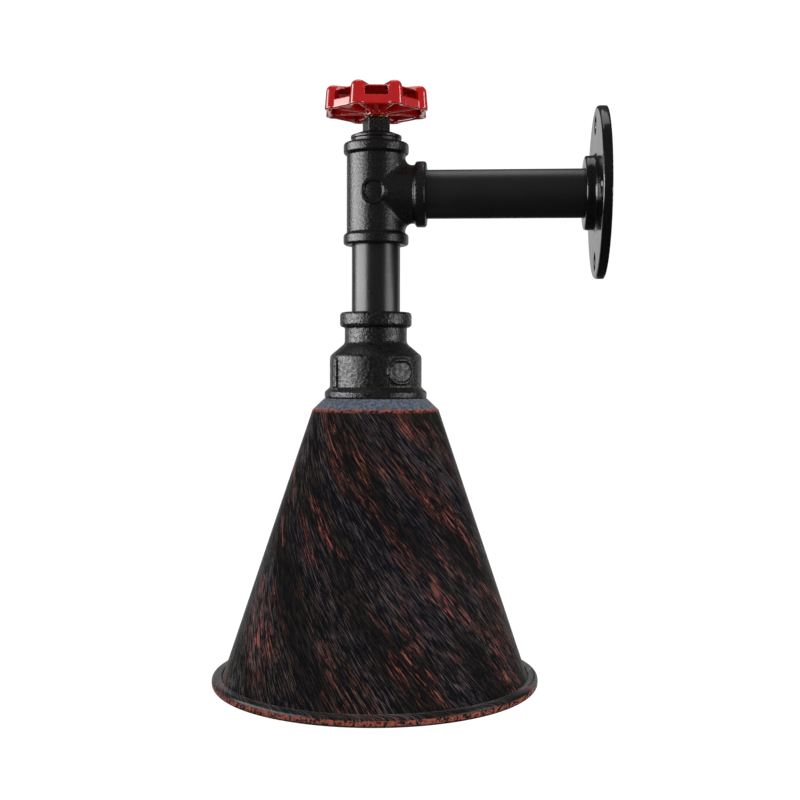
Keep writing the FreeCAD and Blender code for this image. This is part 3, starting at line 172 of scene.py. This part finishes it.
def make_grain_group():
    """A node group that gives the grain's height, a slow wear and the pits."""
    group = bpy.data.node_groups.new("sand_grain", "ShaderNodeTree")
    for name in ("Coarse Scale", "Fine Scale", "Fine Share"):
        group.interface.new_socket(name, in_out="INPUT", socket_type="NodeSocketFloat")
    for name in ("Height", "Wear", "Pits"):
        group.interface.new_socket(name, in_out="OUTPUT", socket_type="NodeSocketFloat")
    start = add_node(group, "NodeGroupInput", (-800, 0))
    place = add_node(group, "ShaderNodeTexCoord", (-800, 300))
    coarse = add_node(group, "ShaderNodeTexNoise", (-500, 300), Detail=3.0, Roughness=0.55)
    fine = add_node(group, "ShaderNodeTexNoise", (-500, 0), Detail=2.0, Roughness=0.6)
    wear = add_node(group, "ShaderNodeTexNoise", (-500, -300), Detail=4.0, Roughness=0.6)
    wear.inputs["Scale"].default_value = WEAR_SCALE
    mix = add_node(group, "ShaderNodeMix", (-200, 150))
    end = add_node(group, "NodeGroupOutput", (300, 0))
    link = group.links.new
    for noise in (coarse, fine, wear):
        link(place.outputs["Object"], noise.inputs["Vector"])
    link(start.outputs["Coarse Scale"], coarse.inputs["Scale"])
    link(start.outputs["Fine Scale"], fine.inputs["Scale"])
    link(start.outputs["Fine Share"], mix.inputs["Factor"])
    link(coarse.outputs["Fac"], mix.inputs["A"])
    link(fine.outputs["Fac"], mix.inputs["B"])
    link(mix.outputs["Result"], end.inputs["Height"])
    link(wear.outputs["Fac"], end.inputs["Wear"])
    pits = ramp(group, mix.outputs["Result"], (100, -200), *PIT_FADE, 1.0, 0.0)
    link(pits, end.inputs["Pits"])
    return group


grain_group = make_grain_group()
print("group:", grain_group.name)

# %% [markdown]
# A painted or cast surface is a Principled shader. Its colour drifts a little between two tones
# and its roughness does the same, because nothing real is one flat value. On rough iron both
# follow the pits: light glints between them, and the darker tone in the pits is painted shade.

# %% Cast and painted finishes
WEAR_FADE = (0.3, 0.7)


def grainy_finish(name, first_tone, second_tone, rough, scales, fine_share, depth,
                  pitted=False, **sockets):
    """A paint or metal over sand grain, which drifts from its first tone to its second.

    rough is the roughness at either tone, scales are the coarse and fine grain's counts per metre,
    and depth is the bump's in metres. A pitted surface has its second tone in its pits, and where
    that tone is the darker one, it is painted shade.
    """
    material = bpy.data.materials.new(name)
    material.use_nodes = True
    tree = material.node_tree
    shader = tree.nodes["Principled BSDF"]
    for socket, value in sockets.items():
        shader.inputs[socket.replace("_", " ")].default_value = value
    grain = add_node(tree, "ShaderNodeGroup", (-900, 0))
    grain.node_tree = grain_group
    grain.inputs["Coarse Scale"].default_value = scales[0]
    grain.inputs["Fine Scale"].default_value = scales[1]
    grain.inputs["Fine Share"].default_value = fine_share
    pattern = grain.outputs["Pits" if pitted else "Wear"]
    fade = (0.0, 1.0) if pitted else WEAR_FADE
    tone = blend_colours(tree, (-500, 200), pattern, first_tone, second_tone)
    shine = ramp(tree, pattern, (-500, -50), *fade, *rough)
    bump = add_node(tree, "ShaderNodeBump", (-300, -300), Strength=1.0, Distance=depth)
    link = tree.links.new
    link(grain.outputs["Height"], bump.inputs["Height"])
    link(tone, shader.inputs["Base Color"])
    link(shine, shader.inputs["Roughness"])
    link(bump.outputs["Normal"], shader.inputs["Normal"])
    return material


# On both castings the second tone is the darker one and lies in the pits: painted shade.
rough_cast = grainy_finish(
    "rough_cast_black", (0.0040, 0.0040, 0.0042), (0.0010, 0.0010, 0.0011),
    (0.16, 0.46), (520.0, 1100.0), 0.40, 0.00050, pitted=True, Specular_IOR_Level=1.0)
fine_cast = grainy_finish(
    "fine_cast_black", (0.0042, 0.0042, 0.0044), (0.0016, 0.0016, 0.0017),
    (0.20, 0.34), (640.0, 1500.0), 0.40, 0.00030, pitted=True, Specular_IOR_Level=1.0)
flange_paint = grainy_finish(
    "flange_black", (0.0020, 0.0020, 0.0022), (0.0032, 0.0032, 0.0034),
    (0.10, 0.17), (700.0, 1800.0), 0.35, 0.00006, Specular_IOR_Level=1.0)
pipe_paint = grainy_finish(
    "pipe_black", (0.0060, 0.0060, 0.0062), (0.0080, 0.0080, 0.0082),
    (0.26, 0.34), (900.0, 3000.0), 0.4, 0.00006, Specular_IOR_Level=1.0)
red_enamel = grainy_finish(
    "red_enamel", (0.46, 0.0006, 0.0010), (0.60, 0.0010, 0.0020),
    (0.14, 0.22), (160.0, 900.0), 0.25, 0.00012,
    Coat_Weight=1.0, Coat_Roughness=0.06, Coat_IOR=1.8, Specular_IOR_Level=0.5)
print("black and red finishes:", len(bpy.data.materials))

# %% [markdown]
# The lamp's inside shows from below and when the bulb comes out, so its metals, mouldings
# and wires have finishes of their own.

# %% Finishes of the inner parts
bright_steel = grainy_finish(
    "bright_steel", (0.42, 0.42, 0.43), (0.58, 0.58, 0.58),
    (0.22, 0.36), (900.0, 4000.0), 0.6, 0.00002, Metallic=1.0)
yellow_brass = grainy_finish(
    "yellow_brass", (0.52, 0.34, 0.10), (0.72, 0.50, 0.18),
    (0.22, 0.36), (900.0, 4000.0), 0.6, 0.00002, Metallic=1.0)
black_moulding = grainy_finish(
    "black_moulding", (0.010, 0.010, 0.010), (0.020, 0.019, 0.018),
    (0.30, 0.42), (500.0, 2600.0), 0.5, 0.00003)
white_moulding = grainy_finish(
    "white_moulding", (0.62, 0.60, 0.55), (0.74, 0.72, 0.67),
    (0.15, 0.25), (400.0, 2600.0), 0.5, 0.00003)
brown_sleeve = grainy_finish(
    "brown_insulation", (0.10, 0.035, 0.012), (0.15, 0.055, 0.02),
    (0.35, 0.45), (500.0, 2600.0), 0.5, 0.00002)
blue_sleeve = grainy_finish(
    "blue_insulation", (0.02, 0.07, 0.30), (0.03, 0.10, 0.38),
    (0.35, 0.45), (500.0, 2600.0), 0.5, 0.00002)
green_sleeve = grainy_finish(
    "green_insulation", (0.05, 0.22, 0.03), (0.40, 0.42, 0.05),
    (0.35, 0.45), (500.0, 2600.0), 0.5, 0.00002)
filament_wax = grainy_finish(
    "filament_coating", (0.55, 0.32, 0.06), (0.70, 0.42, 0.10),
    (0.45, 0.60), (900.0, 3200.0), 0.5, 0.00003)
print("finishes:", len(bpy.data.materials))

# %% [markdown]
# The bulb's envelope is clear glass. A thin shell needs only the shader's own transmission.
# A trace of noise in its roughness keeps it from looking like a computed ball.

# %% Clear glass
clear_glass = bpy.data.materials.new("clear_glass")
clear_glass.use_nodes = True
glass_tree = clear_glass.node_tree
glass_shader = glass_tree.nodes["Principled BSDF"]
glass_shader.inputs["Transmission Weight"].default_value = 1.0
glass_shader.inputs["IOR"].default_value = 1.45
glass_shader.inputs["Base Color"].default_value = (0.84, 0.86, 0.85, 1.0)
glass_place = add_node(glass_tree, "ShaderNodeTexCoord", (-900, 0))
glass_noise = add_node(glass_tree, "ShaderNodeTexNoise", (-700, 0), Scale=90.0, Detail=2.0)
glass_tree.links.new(glass_place.outputs["Object"], glass_noise.inputs["Vector"])
glass_shine = ramp(glass_tree, glass_noise.outputs["Fac"], (-400, 0), 0.0, 1.0, 0.01, 0.05)
glass_tree.links.new(glass_shine, glass_shader.inputs["Roughness"])
print("glass ready")

# %% [markdown]
# The shade is blackened metal brushed over with a coppery paint. Thin broken strokes run down
# and to the right all the way round, so they need a coordinate that winds round the cone.
# Angle and radius are read from Object coordinates. On a cone, the angle less a share of
# the radius's logarithm stays the same along a stroke of constant lean. A noise that changes
# fast across that value and slowly along it draws hairs. The value is wrapped on a circle,
# so there is no seam at the back.

# %% Brushed antique: the winding coordinate
STROKE_LEAN = 2.1
antique = bpy.data.materials.new("brushed_antique")
antique.use_nodes = True
tree = antique.node_tree
shader = tree.nodes["Principled BSDF"]
coordinates = add_node(tree, "ShaderNodeTexCoord", (-3200, 0))
centred = add_node(tree, "ShaderNodeMapping", (-3000, 0))
centred.inputs["Location"].default_value = (-column.x, -column.y, 0.0)
tree.links.new(coordinates.outputs["Object"], centred.inputs["Vector"])
split = add_node(tree, "ShaderNodeSeparateXYZ", (-2800, 0))
tree.links.new(centred.outputs["Vector"], split.inputs["Vector"])
height = split.outputs["Z"]
squares = [math_node(tree, "POWER", (-2600, 100 - 200 * index), split.outputs[axis], 2.0)
           for index, axis in enumerate("XY")]
radius = math_node(tree, "SQRT", (-2200, 0), math_node(tree, "ADD", (-2400, 0), *squares))
angle = math_node(tree, "ARCTAN2", (-2400, 300), split.outputs["Y"], split.outputs["X"])
growth = math_node(tree, "LOGARITHM", (-2200, 200), radius, math.e)
winding = math_node(tree, "MULTIPLY", (-2000, 100), growth, STROKE_LEAN)
across = math_node(tree, "SUBTRACT", (-1800, 0), angle, winding)
cosine = math_node(tree, "COSINE", (-1600, 100), across)
sine = math_node(tree, "SINE", (-1600, -100), across)
print("stroke lean:", STROKE_LEAN)

# %% Brushed antique: noise drawn along the strokes
def stroke_noise(place, round_scale, along_scale, detail=3.0, roughness=0.6, distortion=0.0):
    """A noise drawn out along the strokes. round_scale counts changes round the cone."""
    x, y = place
    vector = add_node(tree, "ShaderNodeCombineXYZ", (x - 200, y))
    parts = {"X": (cosine, round_scale), "Y": (sine, round_scale), "Z": (height, along_scale)}
    for index, (axis, (source, scale)) in enumerate(parts.items()):
        scaled = math_node(tree, "MULTIPLY", (x - 400, y - 40 * index), source, scale)
        tree.links.new(scaled, vector.inputs[axis])
    noise = add_node(tree, "ShaderNodeTexNoise", place, Scale=1.0, Detail=detail)
    noise.inputs["Roughness"].default_value = roughness
    noise.inputs["Distortion"].default_value = distortion
    tree.links.new(vector.outputs["Vector"], noise.inputs["Vector"])
    return noise.outputs["Fac"]


upper_hairs = stroke_noise((-1000, 900), 92.0, 135.0, 3.0, 0.6, 0.6)
lower_hairs = stroke_noise((-1000, 700), 150.0, 150.0, 3.0, 0.6, 0.6)
strokes = stroke_noise((-1000, 300), 66.0, 120.0, 4.0, 0.65, 0.9)
bands = stroke_noise((-1000, 100), 3.4, 22.0, 3.0, 0.6)
patches = stroke_noise((-1000, -100), 2.2, 16.0, 2.0, 0.5)
print("noises drawn")

# %% [markdown]
# Fine hairs cover the whole shade, denser in some patches than in others, and finer towards
# the wide end so that they stay the same size. Bright coppery strokes gather in a few bands.
# Between them the ground turns from warm black to blue black.

# %% Brushed antique: strokes and colours
WARM_BLACK = (0.0062, 0.0056, 0.0048)
BLUE_BLACK = (0.0044, 0.0064, 0.0104)
WARM_GREY = (0.118, 0.104, 0.074)
COOL_GREY = (0.066, 0.076, 0.100)
DULL_COPPER = (0.165, 0.084, 0.066)
BRIGHT_COPPER = (0.33, 0.092, 0.066)

lower_share = ramp(tree, radius, (-1000, 500), 0.046, 0.066)
hairs_mix = add_node(tree, "ShaderNodeMix", (-800, 800))
for socket, source in (("Factor", lower_share), ("A", upper_hairs), ("B", lower_hairs)):
    tree.links.new(source, hairs_mix.inputs[socket])

hair_mask = ramp(tree, hairs_mix.outputs["Result"], (-600, 800), 0.52, 0.66)
hair_share = ramp(tree, patches, (-600, 600), 0.40, 0.58, 0.22, 1.0)
band_mask = ramp(tree, bands, (-600, 100), 0.52, 0.62)
stroke_mask = ramp(tree, strokes, (-600, 300), 0.56, 0.62)
dim_strokes = math_node(tree, "MULTIPLY", (-400, 700), hair_mask, hair_share)
bright_strokes = math_node(tree, "MULTIPLY", (-400, 200), stroke_mask, band_mask)

ground = blend_colours(tree, (-400, 1000), patches, WARM_BLACK, BLUE_BLACK)
cool_share = ramp(tree, patches, (-800, 1100), 0.46, 0.60)
quiet_paint = blend_colours(tree, (-600, 1000), cool_share, WARM_GREY, COOL_GREY)
dim_paint = blend_colours(tree, (-400, 900), bands, quiet_paint, DULL_COPPER)
brushed = blend_colours(tree, (-200, 900), dim_strokes, ground, dim_paint)
brushed = blend_colours(tree, (0, 700), bright_strokes, brushed, BRIGHT_COPPER)
print("strokes drawn")

# %% [markdown]
# The paint has rubbed through where the metal stands out: on the ridge under the sloping shoulder
# and on the outer face of the wired bead, in front and at the back. Both are rings, so radius and
# height find them, and a speckle breaks them up. Inside the ridge, the sloping shoulder is given a
# speckled, pale grey-blue tone, which is a painted reflection of the light from above. Each range
# below is where a mask fades in, in metres.

# %% Brushed antique: worn rings and the shoulder's painted reflection
SPECKLE_FADE = (0.44, 0.56)
RIDGE_RADIUS = 0.0347
RIDGE_EDGE = (0.0004, 0.0009)
BEAD_TOP = (-0.2682, -0.2678)
BEAD_FOOT = (-0.2708, -0.2704)
BEAD_FACE = (0.0890, 0.0896)
BEAD_SIDES = (0.004, 0.020)
SHOULDER_EDGE = (0.0344, 0.0350)
WORN_COPPER = (0.31, 0.082, 0.052)
SHOULDER_REFLECTION_DIM = (0.060, 0.070, 0.090)
SHOULDER_REFLECTION_BRIGHT = (0.120, 0.138, 0.175)

speckle = add_node(tree, "ShaderNodeTexNoise", (-1000, -400), Scale=620.0, Detail=3.0)
speckle.inputs["Roughness"].default_value = 0.65
tree.links.new(coordinates.outputs["Object"], speckle.inputs["Vector"])
speckle_mask = ramp(tree, speckle.outputs["Fac"], (-600, -400), *SPECKLE_FADE)

from_ridge = math_node(tree, "SUBTRACT", (-1200, -700), radius, RIDGE_RADIUS)
ridge_distance = math_node(tree, "ABSOLUTE", (-1000, -700), from_ridge)
ridge_mask = ramp(tree, ridge_distance, (-600, -700), *RIDGE_EDGE, 1.0, 0.0)

under_top = ramp(tree, height, (-800, -900), *BEAD_TOP, 1.0, 0.0)
over_foot = ramp(tree, height, (-800, -1000), *BEAD_FOOT)
outer_face = ramp(tree, radius, (-800, -1100), *BEAD_FACE)
side_distance = math_node(tree, "ABSOLUTE", (-800, -1300), split.outputs["X"])
front_and_back = ramp(tree, side_distance, (-600, -1300), *BEAD_SIDES)
worn_bead = math_node(tree, "MULTIPLY", (-600, -900), under_top, over_foot)
worn_bead = math_node(tree, "MULTIPLY", (-500, -900), worn_bead, outer_face)
worn_bead = math_node(tree, "MULTIPLY", (-400, -1000), worn_bead, front_and_back)

worn_rings = math_node(tree, "MAXIMUM", (-300, -800), ridge_mask, worn_bead)
worn = math_node(tree, "MULTIPLY", (-200, -600), worn_rings, speckle_mask)
# Painted reflection: inside the ridge's radius, the shoulder takes a speckled pale grey-blue for
# the light from above.
shoulder_reflection_mask = ramp(tree, radius, (-600, -1500), *SHOULDER_EDGE, 1.0, 0.0)
shoulder_reflection_tone = blend_colours(tree, (-100, 500), speckle_mask, SHOULDER_REFLECTION_DIM, SHOULDER_REFLECTION_BRIGHT)
shoulder_painted_reflection = blend_colours(tree, (100, 600), shoulder_reflection_mask, brushed, shoulder_reflection_tone)
finished = blend_colours(tree, (300, 500), worn, shoulder_painted_reflection, WORN_COPPER)
tree.links.new(finished, shader.inputs["Base Color"])
print("worn rings drawn")

# %% [markdown]
# The paint stands a little proud of the metal. The surface is dull, with a soft sheen, and
# only the bead at the rim is glossy.

# %% Brushed antique: surface
PAINT_DEPTH = 0.00012
COATED_RIM = (0.0852, 0.0856)

all_strokes = math_node(tree, "MAXIMUM", (-200, 0), dim_strokes, worn)
paint = math_node(tree, "MAXIMUM", (0, 0), bright_strokes, all_strokes)
paint_roughness = ramp(tree, paint, (200, 0), 0.0, 1.0, 0.46, 0.56)
tree.links.new(paint_roughness, shader.inputs["Roughness"])
rim_coat = ramp(tree, radius, (200, -150), *COATED_RIM, 0.0, 0.5)
tree.links.new(rim_coat, shader.inputs["Coat Weight"])
shade_bump = add_node(tree, "ShaderNodeBump", (0, -350), Strength=0.7, Distance=PAINT_DEPTH)
tree.links.new(paint, shade_bump.inputs["Height"])
tree.links.new(shade_bump.outputs["Normal"], shader.inputs["Normal"])
shader.inputs["Coat Roughness"].default_value = 0.22
shader.inputs["Specular IOR Level"].default_value = 0.0
shader.inputs["Sheen Weight"].default_value = 0.30
shader.inputs["Sheen Roughness"].default_value = 0.22
print("antique finish ready")

# %% [markdown]
# ## Castings
#
# A casting has no sharp edge: the sand rounds every corner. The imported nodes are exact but
# crisp. A copy of each is merged, remeshed into small even squares and relaxed, which
# rounds every edge and inner corner by about the same small amount, as a foundry does.
# The reducer is cast so roughly that its surface is lumpy too.

# %% Soften a casting
def cast_piece(name, node, body, finish, voxel, relax, lumps=0.0, lump_size=2.0):
    """A softened copy of a CAD node. Sizes are in millimetres."""
    choose(nodes[node])
    bpy.ops.object.duplicate()
    piece = bpy.context.active_object
    piece.name = name
    piece.parent = None
    for key in list(piece.keys()):
        del piece[key]
    piece.data.materials.clear()
    settle(piece)
    apply_modifier(piece, "REMESH", mode="VOXEL", voxel_size=voxel * MM)
    apply_modifier(piece, "SMOOTH", factor=0.5, iterations=relax)
    if lumps:
        clouds = bpy.data.textures.new(name + "_lumps", "CLOUDS")
        clouds.noise_scale = lump_size * MM
        clouds.noise_depth = 1
        apply_modifier(piece, "DISPLACE", texture=clouds, strength=lumps * MM,
                       mid_level=0.5, texture_coords="GLOBAL")
    choose(piece)
    bpy.ops.object.shade_smooth()
    piece.data.materials.append(finish)
    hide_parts(node)
    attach(piece, body)
    print(name, len(piece.data.polygons), "faces")


cast_piece("soft_handwheel", "handwheel", "wheel", red_enamel, 0.42, 6)
cast_piece("soft_tee", "pipe_tee", "fixture", fine_cast, 0.40, 4)
cast_piece("soft_reducer", "bell_reducer", "fixture", rough_cast, 0.42, 3, 0.16, 1.8)
cast_piece("soft_flange", "wall_flange", "fixture", flange_paint, 0.55, 4)
cast_piece("soft_plug", "square_plug", "fixture", fine_cast, 0.26, 3)

# %% [markdown]
# ## The shade
#
# The real shade is a disc of sheet metal spun over a former. Here a ring is added and
# extruded along the shade's outline, inside and outside, until it meets itself. The rounded
# corners are short runs of small steps. Their places are the CAD shade's own.

# %% Turn an outline
def rounded_outline(corners, steps=6):
    """Replaces each (radius, height, rounding) corner with a short arc."""
    outline = []
    count = len(corners)
    for index, (radius, height, rounding) in enumerate(corners):
        here = Vector((radius, height))
        if rounding == 0:
            outline.append(here)
            continue
        before = Vector(corners[index - 1][:2]) - here
        after = Vector(corners[(index + 1) % count][:2]) - here
        half_turn = (math.pi - before.angle(after)) / 2
        reach = min(rounding * math.tan(half_turn), before.length * 0.49, after.length * 0.49)
        start = here + before.normalized() * reach
        end = here + after.normalized() * reach
        for step in range(steps + 1):
            share = step / steps
            left = 1 - share
            outline.append(start * left ** 2 + here * 2 * share * left + end * share ** 2)
    return outline


def turned_piece(name, outline, steps=160):
    """Adds a ring and extrudes it through an outline of (radius, height) in millimetres."""
    bpy.ops.object.select_all(action="DESELECT")
    radius, height = outline[0]
    centre = (column.x, column.y, height * MM)
    bpy.ops.mesh.primitive_circle_add(vertices=steps, radius=radius * MM, location=centre)
    piece = bpy.context.active_object
    piece.name = name
    bpy.ops.object.mode_set(mode="EDIT")
    bpy.ops.mesh.select_all(action="SELECT")
    for next_radius, next_height in [*outline[1:], outline[0]]:
        rise = (next_height - height) * MM
        bpy.ops.mesh.extrude_region_move(TRANSFORM_OT_translate={"value": (0, 0, rise)})
        growth = next_radius / radius
        pivot = (column.x, column.y, next_height * MM)
        bpy.ops.transform.resize(value=(growth, growth, 1), center_override=pivot)
        radius, height = next_radius, next_height
    bpy.ops.object.mode_set(mode="OBJECT")
    settle(piece)
    return piece


print("turning ready")

# %% Spin the shade
SHADE_CORNERS = [
    (20.85, -113.0, 0), (28.55, -113.0, 1.2), (35.15, -119.3, 1.2), (84.95, -268.0, 0.4),
    (85.25, -266.0, 1.8), (90.7, -266.0, 2.9), (90.7, -272.0, 2.9), (83.95, -272.0, 2.5),
    (83.95, -268.0, 0.4), (34.15, -119.8, 1.0), (28.05, -114.0, 1.0), (20.85, -114.0, 0),
]
shade = turned_piece("spun_shade", rounded_outline(SHADE_CORNERS), 192)
shade.data.materials.append(antique)
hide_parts("shade")
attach(shade, "fixture")
print("shade faces:", len(shade.data.polygons))

# %% [markdown]
# ## The bulb's glass
#
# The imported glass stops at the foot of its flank, so the whole envelope is made here: a seat
# inside the cap, a neck, a straight flank and the round ball below it. It is turned the same
# way as the shade, down the outside and up again inside. A ring can't shrink to nothing, so
# a pinhole too small to see is left on the axis.

# %% Blow the bulb's envelope
GLASS = 0.8
SEAT_RADIUS = 12.55
SEAT_TOP = -128.8
SEAT_FOOT = -150.0
NECK_RADIUS = 13.85
NECK_HEIGHT = -162.0
BALL_RADIUS = 30.0
BALL_HEIGHT = -197.0
FLANK_TURN = math.radians(31.2)
PINHOLE = 0.1


def envelope_side(inset, steps=28):
    """The glass from its seat down to the foot of the ball, set in by a thickness."""
    side = [
        (SEAT_RADIUS - inset, SEAT_TOP - inset),
        (SEAT_RADIUS - inset, SEAT_FOOT),
        (NECK_RADIUS - inset, NECK_HEIGHT),
    ]
    radius = BALL_RADIUS - inset
    for step in range(steps + 1):
        turn = FLANK_TURN - (FLANK_TURN + math.pi / 2) * step / steps
        side.append((max(radius * math.cos(turn), PINHOLE), BALL_HEIGHT + radius * math.sin(turn)))
    return side


outside = envelope_side(0.0)
inside = envelope_side(GLASS)
seat_disc = [(PINHOLE, SEAT_TOP - GLASS), (PINHOLE, SEAT_TOP)]
envelope = turned_piece("blown_envelope", outside + inside[::-1] + seat_disc, 96)
envelope.data.materials.append(clear_glass)
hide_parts("bulb_glass")
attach(envelope, "bulb")
print("envelope faces:", len(envelope.data.polygons))

# %% [markdown]
# ## Plain parts
#
# Pipes, screws, wires and the bulb's other parts are right as they are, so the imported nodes
# themselves are shown and only take a finish.

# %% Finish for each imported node
NODE_FINISHES = {
    pipe_paint: ["arm_pipe", "drop_pipe"],
    bright_steel: ["spindle", "wheel_washer", "wheel_nut", "switch_screws", "carrier_washer",
                   "hanger_tube", "hanger_nuts", "lampholder_screws", "bulb_wires",
                   "lead_sleeves"],
    yellow_brass: ["spindle_bush", "switch_bridge", "switch_terminals", "earth_tag",
                   "screw_shell", "centre_contact", "lampholder_posts", "bulb_cap",
                   "bulb_tip"],
    black_moulding: ["switch_body", "switch_base", "lampholder_cap", "lampholder_body",
                     "shade_ring", "bulb_insulator"],
    white_moulding: ["switch_rotor", "lampholder_insert"],
    clear_glass: ["bulb_stem"],
    filament_wax: ["bulb_filaments"],
    brown_sleeve: ["supply_live_lead", "switched_live_lead"],
    blue_sleeve: ["neutral_lead"],
    green_sleeve: ["earth_lead"],
}
for finish, names in NODE_FINISHES.items():
    for name in names:
        nodes[name].data.materials.clear()
        nodes[name].data.materials.append(finish)
print("dressed nodes:", sum(len(names) for names in NODE_FINISHES.values()))

# %% [markdown]
# ## Camera, floor and light
#
# The photograph was taken from the lamp's side, a little above the shade's middle, with a
# longish lens.

# %% Camera
CAMERA_PLACE = Vector((667.0, -66.0, -97.3)) * MM
CAMERA_AIM = Vector((0.0, -112.1, -114.0)) * MM
CAMERA_ROLL = math.radians(0.15)

camera_data = bpy.data.cameras.new("camera")
camera_data.lens = 54.0
camera_data.sensor_width = 36.0
camera = bpy.data.objects.new("camera", camera_data)
bpy.context.scene.collection.objects.link(camera)
camera.location = CAMERA_PLACE
level_view = (CAMERA_AIM - CAMERA_PLACE).to_track_quat("-Z", "Y")
camera.rotation_euler = (level_view @ Quaternion((0, 0, 1), CAMERA_ROLL)).to_euler()
bpy.context.scene.camera = camera
print("camera at", tuple(round(value, 3) for value in camera.location))

# %% [markdown]
# The lamp hangs on a wall, so the floor lies far below it. It doesn't light the lamp, and
# doesn't show in its gloss.

# %% Floor
FLOOR_DROP = 2.0
FLOOR_SIZE = 24.0

bpy.ops.object.select_all(action="DESELECT")
bpy.ops.mesh.primitive_plane_add(size=FLOOR_SIZE, location=(0, 0, -FLOOR_DROP))
floor = bpy.context.active_object
floor.name = "floor"
floor_finish = bpy.data.materials.new("pale_floor")
floor_finish.use_nodes = True
floor_shader = floor_finish.node_tree.nodes["Principled BSDF"]
floor_shader.inputs["Base Color"].default_value = (0.96, 0.96, 0.96, 1.0)
floor_shader.inputs["Roughness"].default_value = 0.9
floor_shader.inputs["Specular IOR Level"].default_value = 0.0
floor.data.materials.append(floor_finish)
floor.visible_glossy = False
floor.visible_diffuse = False
print("floor at", -FLOOR_DROP)

# %% [markdown]
# One big softbox stands on the left and a weaker strip on the right, which gives the black
# cylinders their broad grey edge and dark middle. Dim cards behind them draw the thin back
# edges. The handwheel's slanted panels face higher, so a high card on each side shines in them.

# %% Lights
def soft_light(name, place, aim, width, height, power):
    """A rectangular area light that faces a point. Sizes are in metres, power in watts."""
    data = bpy.data.lights.new(name, "AREA")
    data.shape = "RECTANGLE"
    data.size = width
    data.size_y = height
    data.energy = power
    lamp = bpy.data.objects.new(name, data)
    bpy.context.scene.collection.objects.link(lamp)
    lamp.location = place
    lamp.rotation_euler = (Vector(aim) - Vector(place)).to_track_quat("-Z", "Y").to_euler()
    return lamp


middle = (0.0, -0.128, -0.1)
wheel_middle = (0.0, -0.126, 0.04)
left_softbox = soft_light("left_softbox", (0.32, -1.18, 0.04), middle, 1.3, 0.52, 10.5)
left_softbox.visible_diffuse = False
soft_light("left_back_card", (-1.2, -0.50, -0.05), middle, 1.2, 0.8, 1.5)
soft_light("right_softbox", (0.32, 0.95, -0.02), middle, 0.8, 0.36, 2.5)
soft_light("right_back_card", (-1.0, 0.45, -0.05), middle, 0.6, 0.8, 0.8)
soft_light("left_high_card", (-0.05, -1.30, 0.45), wheel_middle, 0.5, 0.34, 2.1)
soft_light("right_high_card", (0.06, 1.05, 0.43), wheel_middle, 0.22, 0.14, 0.5)
soft_light("top_softbox", (-0.3, -0.2, 1.0), middle, 0.7, 0.7, 1.5)

# %% [markdown]
# The room is white to the camera. It lights the lamp about twice as strongly from above as
# from below, and shows only faintly in gloss, so black iron stays black.

# %% Room
SEEN_LEVEL = 1.05
GLOSSY_SHARE = 0.0625
RISE = (-0.5, 0.4)
FROM_BELOW = 0.48
FROM_ABOVE = 1.15

world = bpy.data.worlds.new("studio")
bpy.context.scene.world = world
world.use_nodes = True
room = world.node_tree
background = room.nodes["Background"]
background.inputs["Color"].default_value = (1.0, 1.0, 1.0, 1.0)
light_path = add_node(room, "ShaderNodeLightPath", (-900, 0))
direction = add_node(room, "ShaderNodeTexCoord", (-1300, 300))
direction_parts = add_node(room, "ShaderNodeSeparateXYZ", (-1100, 300))
room.links.new(direction.outputs["Generated"], direction_parts.inputs["Vector"])
given = ramp(room, direction_parts.outputs["Z"], (-900, 300), *RISE, FROM_BELOW, FROM_ABOVE)
level = add_node(room, "ShaderNodeMix", (-600, 100))
level.inputs["B"].default_value = SEEN_LEVEL
room.links.new(light_path.outputs["Is Camera Ray"], level.inputs["Factor"])
room.links.new(given, level.inputs["A"])
glossy = ramp(room, light_path.outputs["Is Glossy Ray"], (-600, -200), 0.0, 1.0, 1.0, GLOSSY_SHARE)
strength = math_node(room, "MULTIPLY", (-300, 0), level.outputs["Result"], glossy)
room.links.new(strength, background.inputs["Strength"])
bpy.context.scene.view_settings.view_transform = "Standard"
print("room level to the camera:", SEEN_LEVEL)
